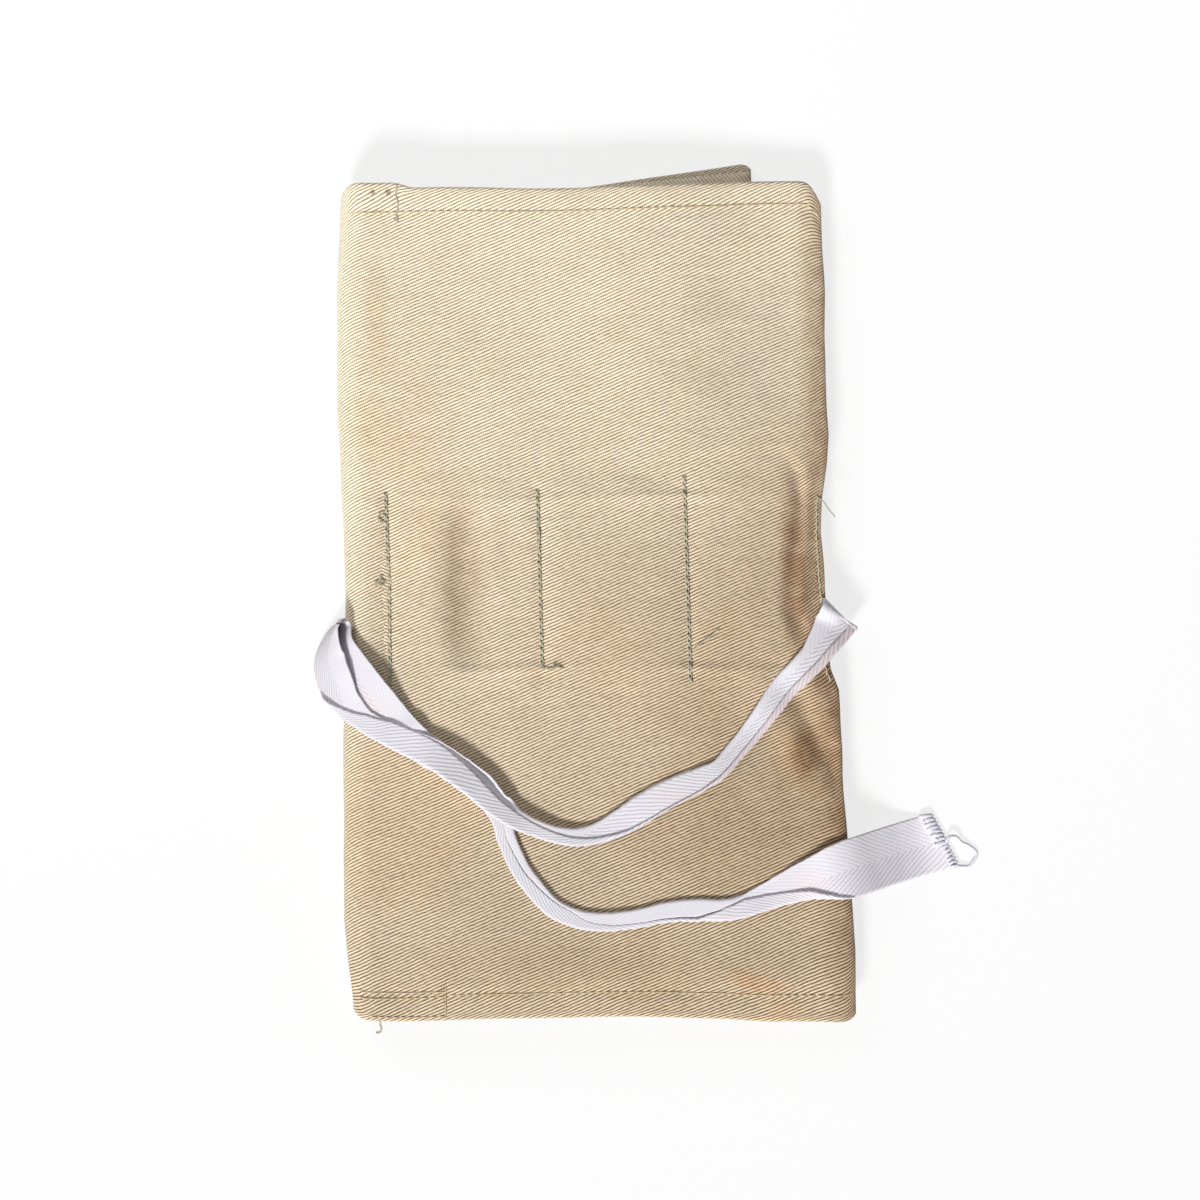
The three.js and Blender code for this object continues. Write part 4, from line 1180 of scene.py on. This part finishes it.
def tape_grid():
    """Centre line, ring points and cloth places of the tape, and the length up to each ring."""
    table = np.array([(*row[:8], *row[8]) for row in TAPE_STATIONS], float)
    centre = table[:, :3].copy()
    laid = window(centre[:, 0], *LIFTED_SPAN) * smooth(*LIFTED_Z, centre[:, 2])
    centre[:, 2] += front_rise(centre[:, 0], centre[:, 1]) * laid
    line, place = curve_through(centre, TAPE_STEP)
    numbers = np.arange(len(table))
    shape = np.stack([np.interp(place, numbers, column) for column in table[:, 3:].T], axis=-1)
    folds, normal = shape[:, :5], shape[:, 5:]
    ahead = directions(line)
    side = np.cross(normal, ahead)
    side /= np.linalg.norm(side, axis=1)[:, None]
    normal = np.cross(ahead, side)
    run = lengths(line)
    slant = END_SLANT * smooth(run[-1] - END_SLANT_RUN, run[-1], run)
    rings, places = [], []
    for i in range(len(line)):
        u, h, w = folded_section(*folds[i])
        aside = side[i] * u[:, None] - ahead[i] * (slant[i] * u)[:, None]
        rings.append(line[i] + aside + normal[i] * h[:, None])
        places.append(np.stack([w, np.full(len(w), run[i])], axis=-1))
    rings = np.array(rings)
    on_cloth = window(line[:, 0], *CLEAR_SPAN) * smooth(*CLEAR_Z, line[:, 2])
    ground = CENTRE_TOP_Z + front_rise(rings[..., 0], rings[..., 1]) + CLEARANCE
    lack = np.clip(ground - rings[..., 2], 0, None).max(axis=1) * on_cloth
    spread = CLEAR_SPREAD / CLEAR_SPREAD.sum() * CLEAR_GAIN
    rings[..., 2] += np.convolve(lack, spread, mode="same")[:, None]
    rings[..., 2] = np.maximum(rings[..., 2], TAPE_LOWEST)
    return line, rings, np.array(places), run


tape_line, tape_rings, tape_places, tape_run = tape_grid()
tape = sheet_object("tape", tape_rings, tape_places, TAPE_CLOTH, tape_cloth, offset=TO_BOTH_SIDES)


def tape_point(back, across, lift):
    """A point by the tape's free end: mm back from it, share across from -1 to 1, and mm above it."""
    ring = tape_rings[np.argmin(np.abs(tape_run - (tape_run[-1] - max(back, 0))))]
    spot = (across + 1) / 2 * (TAPE_ACROSS - 1)
    j = int(min(max(spot, 0), TAPE_ACROSS - 2))
    flat = ring[j] + (ring[j + 1] - ring[j]) * (spot - j)
    middle = TAPE_ACROSS // 2
    ahead = tape_rings[-1, middle] - tape_rings[-4, middle]
    ahead /= np.linalg.norm(ahead)
    return flat + ahead * max(-back, 0) + np.array((0, 0, lift))


# Thread wound over the tape's cut end, thick on its upper half and thin below
OVERCAST_SEED = 9
OVERCAST_PLACES = np.linspace(-0.97, 0.95, 14)
OVERCAST_SPLIT = 0.1
THICK_REACH, THIN_REACH = 2.7, 1.7
THICK_THREAD, THIN_THREAD = 0.74, 0.38
REACH_JOG = (-0.4, 0.5)
DRIFT_JOG = (-0.04, 0.04)
# One stitch: share of its reach, place beyond the end, share of its drift, step across and height
OVERCAST_FORM = (
    (1.0, 0, 1, 0, 0.2), (0.7, 0, 1, 0, 0.75), (0.3, 0, 0, 0, 0.85), (0, -0.2, 0, 0.03, 0.55),
    (0, -0.5, 0, 0.05, 0.0), (0, -0.2, 0, 0.07, -0.4), (0.4, 0, 0, 0.09, -0.5),
)


def overcast_stitches():
    thick, thin = [], []
    dice = np.random.default_rng(OVERCAST_SEED)
    for across in OVERCAST_PLACES:
        upper = across < OVERCAST_SPLIT
        reach = (THICK_REACH if upper else THIN_REACH) + dice.uniform(*REACH_JOG)
        drift = dice.uniform(*DRIFT_JOG)
        line = [
            tape_point(reach * share + beyond, across + drift * drifts + step, lift)
            for share, beyond, drifts, step, lift in OVERCAST_FORM
        ]
        (thick if upper else thin).append(curve_through(line, END_STEP)[0])
    sizes = [THICK_THREAD] * len(thick) + [THIN_THREAD] * len(thin)
    return join_tubes("tape_overcast", thick + thin, sizes, white_thread)


# The loose loop of thread at the tape's free corner: pixels in the photograph, and height
THREAD_LOOP = (
    (951, 845, 2.4), (954, 840, 2.6), (961, 840, 2.0), (967, 846, 1.2), (974, 849, 0.7),
    (982, 856, 0.5), (980, 863, 0.5), (974, 870, 0.5), (962, 870, 1.2),
)
LOOP_THREAD = 0.58
THREAD_STEP = 0.5


def tape_thread():
    line = [((px - ORIGIN_PX[0]) * PIXEL_MM, (ORIGIN_PX[1] - py) * PIXEL_MM, z) for px, py, z in THREAD_LOOP]
    return join_tubes("tape_thread", [curve_through(line, THREAD_STEP)[0]], LOOP_THREAD, white_thread)


overcast = overcast_stitches()
loose_thread = tape_thread()


# Tacks and thread ends

STITCH_FORM = ((0.04, -0.15), (0.2, 0.12), (0.5, 0.2), (0.8, 0.12), (0.96, -0.15))  # share along, height
TACK_THREAD = 0.26
BOX_THREAD = 0.18
TACK_PITCH = 2.8
BOX_PITCH = 2.5
TACK_POINTS = ((-61.1, 130.4), (-61.7, 127.8), (-60.8, 125.2), (-61.6, 122.4), (-60.9, 119.6), (-62.5, 121.2))
BOX_LINES = (
    ((-79.5, -128.2), (-50.5, -128.0)),
    ((-79.5, -130.2), (-50.5, -129.6)),
    ((-49.9, -126.4), (-49.9, -135.6)),
    ((-75.0, -135.8), (-50.1, -135.8)),
)
TAIL = ((-68.6, -136.9, 15.6), (-68.8, -138.6, 14.6), (-68.5, -140.4, 13.6), (-69.0, -141.6, 13.0),
        (-70.2, -141.8, 12.8))
TAIL_THREAD = 0.4


def stitched_line(start, end, pitch):
    """Separate straight stitches from one place to another."""
    start, end = np.array(start), np.array(end)
    count = max(1, round(math.dist(start, end) / pitch))
    paths = []
    for i in range(count):
        paths.append([(*(start + (end - start) * (i + t) / count), lift) for t, lift in STITCH_FORM])
    return paths


def tack(name, lines, pitch, radius, thread):
    """Straight stitches on the front, along lines between flat-cloth places."""
    paths = [path for line in lines for path in stitched_line(*line, pitch)]
    threads = [curve_through(path_on_front(path), THREAD_STEP)[0] for path in paths]
    return join_tubes(name, threads, radius, thread)


bar = zip(TACK_POINTS, TACK_POINTS[1:])
top_tack = tack("top_corner_tack", bar, TACK_PITCH, TACK_THREAD, khaki_thread)
bottom_tack = tack("bottom_corner_tack", BOX_LINES, BOX_PITCH, BOX_THREAD, fine_thread)
thread_end = join_tubes("hem_thread_end", [curve_through(TAIL, END_STEP)[0]], TAIL_THREAD, khaki_thread)
dress(top_tack, "centre_panel", "thread", "corner_tack_top")
dress(bottom_tack, "centre_panel", "thread", "corner_tack_bottom")
dress(thread_end, "centre_panel", "thread", "hem_thread_tail")


# Stitching inside, seen when the cloth is opened

INNER_PITCH = 2.9
INNER_STEP = 0.6
INNER_THREAD = 0.24
SEAM_Z = 4.05
SEAM_LEFT = POCKET_MOUTH + 4
SEAM_RIGHT = POCKET_END - HEM_WIDTH
END_SEAM = POCKET_END - HEM_STITCH
STRIP_STITCH = 7.4
MOUTH_SEAM = POCKET_MOUTH + STRIP_STITCH
COVER_SEAM = COVER_END + STRIP_STITCH
STRIP_LOW = BOTTOM_EDGE + 12
STRIP_HIGH = TOP_EDGE - 12
COVER_LEFT = COVER_END + 2
COVER_RIGHT = RIGHT_START - 2
# Name, body, the row's two ends, height, which side of the cloth it shows on, and whether it
# rises with the outer flap
INNER_ROWS = (
    ("pocket_top", "pocket_panel", (SEAM_LEFT, TOP_STITCH), (SEAM_RIGHT, TOP_STITCH), SEAM_Z, 1, 1),
    ("pocket_bottom", "pocket_panel", (SEAM_LEFT, BOTTOM_STITCH), (SEAM_RIGHT, BOTTOM_STITCH), SEAM_Z, 1, 1),
    ("pocket_end", "pocket_panel", (END_SEAM, BOTTOM_STITCH), (END_SEAM, TOP_STITCH), SEAM_Z, 1, 1),
    ("pocket_mouth", "pocket_panel", (MOUTH_SEAM, STRIP_LOW), (MOUTH_SEAM, STRIP_HIGH), 7.35, 1, 0),
    ("cover_end", "cover_flap", (COVER_SEAM, STRIP_LOW), (COVER_SEAM, STRIP_HIGH), COVER_Z + 2.15, 1, 0),
    ("cover_top", "cover_flap", (COVER_LEFT, TOP_STITCH), (COVER_RIGHT, TOP_STITCH), COVER_Z, -1, 0),
    ("cover_bottom", "cover_flap", (COVER_LEFT, BOTTOM_STITCH), (COVER_RIGHT, BOTTOM_STITCH), COVER_Z, -1, 0),
    ("tape_tack", "pocket_panel", (47, -12.6), (47, 2.6), 3.7, 1, 0),
)


def inner_row(name, start, end, height, facing, rises):
    """Straight stitches along a flat inner face."""
    lines = []
    for path in stitched_line(start, end, INNER_PITCH):
        line = [(float(lean(x, y)), y + rises * flap_rise(x), height + facing * lift) for x, y, lift in path]
        lines.append(curve_through(line, INNER_STEP)[0])
    return join_tubes(f"{name}_stitches", lines, INNER_THREAD, khaki_thread)


for name, body, *row in INNER_ROWS:
    dress(inner_row(name, *row), body, "thread", name if name == "tape_tack" else f"{name}_stitching")


# Who moves with what, and which solids the cloths and the tape stand for


def bend(piece):
    """Bakes a cloth's placement into its mesh."""
    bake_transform(piece)


bend(outer_cloth)
bend(cover_cloth)
dress(outer_cloth, None, "canvas", "pocket_back", "pocket_back_end_hem", "left_fold_lower", "left_fold_upper",
      "centre_panel", "right_fold_upper", "centre_top_hem", "centre_bottom_hem")
dress(cover_cloth, None, "canvas", "right_fold_lower", "cover_flap", "cover_top_hem", "cover_bottom_hem")
dress(pocket_front, "pocket_panel", "canvas_inside",
      "pocket_front", "pocket_top_seam", "pocket_bottom_seam", "pocket_front_end_hem")
dress(mouth_hem, "pocket_panel", "canvas", "pocket_mouth_hem")
dress(cover_hem, "cover_flap", "canvas", "cover_end_hem")
dress(band, "centre_panel", "canvas_inside", "loop_left", "loop_middle", "loop_right")
dress(tape, "pocket_panel", "tape", "tape_sewn_end", "tape_wrap", "tape_upper_strand", "tape_turn",
      "tape_lower_strand", "tape_free_end")
dress(overcast, "pocket_panel", "thread", "tape_overcasting")
dress(loose_thread, "pocket_panel", "thread", "tape_thread_loop")
for piece in (tape, overcast, loose_thread):
    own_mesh(piece)


# Floor, light and background

WHITE = (1, 1, 1, 1)
FLOOR_HALF = 1.6
FLOOR_TONE = (0.9, 0.9, 0.9, 1)
FLOOR_WHITENED = 0.78
SUN_STRENGTH = 3.65
SUN_ANGLE = 14
SUN_AIM = (0.34, 1.0, -0.88)
FILL_SIZE = 0.4
FILL_STRENGTH = 1.25
FILL_PLACE = Vector((-0.36, 0.34, 0.42))
FILL_TARGET = Vector((-0.03, 0.05, 0))
WORLD_STRENGTH = 0.16


def direct_rays(tree):
    """One for rays from the camera, mirrored or through glass, and nought for the light's own."""
    path = tree.nodes.new("ShaderNodeLightPath").outputs
    seen = path["Is Camera Ray"]
    for kind in ("Is Glossy Ray", "Is Transmission Ray"):
        seen = add_node(tree, "Math", 0, {0: seen, 1: path[kind]}, operation="MAXIMUM")
    return seen


def add_floor():
    """A pale floor that turns white for the camera but keeps the shadow."""
    half = FLOOR_HALF
    corners = [(-half, -half, 0), (half, -half, 0), (half, half, 0), (-half, half, 0)]
    mesh = bpy.data.meshes.new("floor")
    mesh.from_pydata(corners, [], [(0, 1, 2, 3)])
    floor = bpy.data.objects.new("floor", mesh)
    bpy.context.scene.collection.objects.link(floor)
    material = bpy.data.materials.new("floor")
    material.use_nodes = True
    tree = material.node_tree
    surface = tree.nodes["Principled BSDF"]
    set_inputs(tree, surface, {"Base Color": FLOOR_TONE, "Roughness": 1.0, "Specular IOR Level": 0.0})
    white = add_node(tree, "Emission", 0, {"Strength": 1.0})
    share = add_node(tree, "Math", 0, {0: direct_rays(tree), 1: FLOOR_WHITENED}, operation="MULTIPLY")
    mixed = add_node(tree, "MixShader", 0, {0: share, 1: surface.outputs[0], 2: white})
    set_inputs(tree, tree.nodes["Material Output"], {"Surface": mixed})
    mesh.materials.append(material)


def add_light(data, aim, place=(0, 0, 0)):
    light = bpy.data.objects.new(data.name, data)
    light.location = place
    light.rotation_euler = Vector(aim).to_track_quat("-Z", "Y").to_euler()
    bpy.context.scene.collection.objects.link(light)


def add_lights():
    sun = bpy.data.lights.new("key", "SUN")
    sun.energy = SUN_STRENGTH
    sun.angle = math.radians(SUN_ANGLE)
    add_light(sun, SUN_AIM)
    panel = bpy.data.lights.new("fill", "AREA")
    panel.shape = "SQUARE"
    panel.size = FILL_SIZE
    panel.energy = FILL_STRENGTH
    add_light(panel, FILL_TARGET - FILL_PLACE, FILL_PLACE)


def add_world():
    """A faint light from all sides, and white behind everything."""
    world = bpy.data.worlds.new("studio")
    bpy.context.scene.world = world
    world.use_nodes = True
    tree = world.node_tree
    light = tree.nodes["Background"]
    set_inputs(tree, light, {"Color": WHITE, "Strength": WORLD_STRENGTH})
    white = add_node(tree, "Background", 0, {"Color": WHITE, "Strength": 1.0})
    mixed = add_node(tree, "MixShader", 0, {0: direct_rays(tree), 1: light.outputs[0], 2: white})
    set_inputs(tree, tree.nodes["World Output"], {"Surface": mixed})


add_floor()
add_lights()
add_world()
bpy.context.scene.view_settings.view_transform = "Standard"
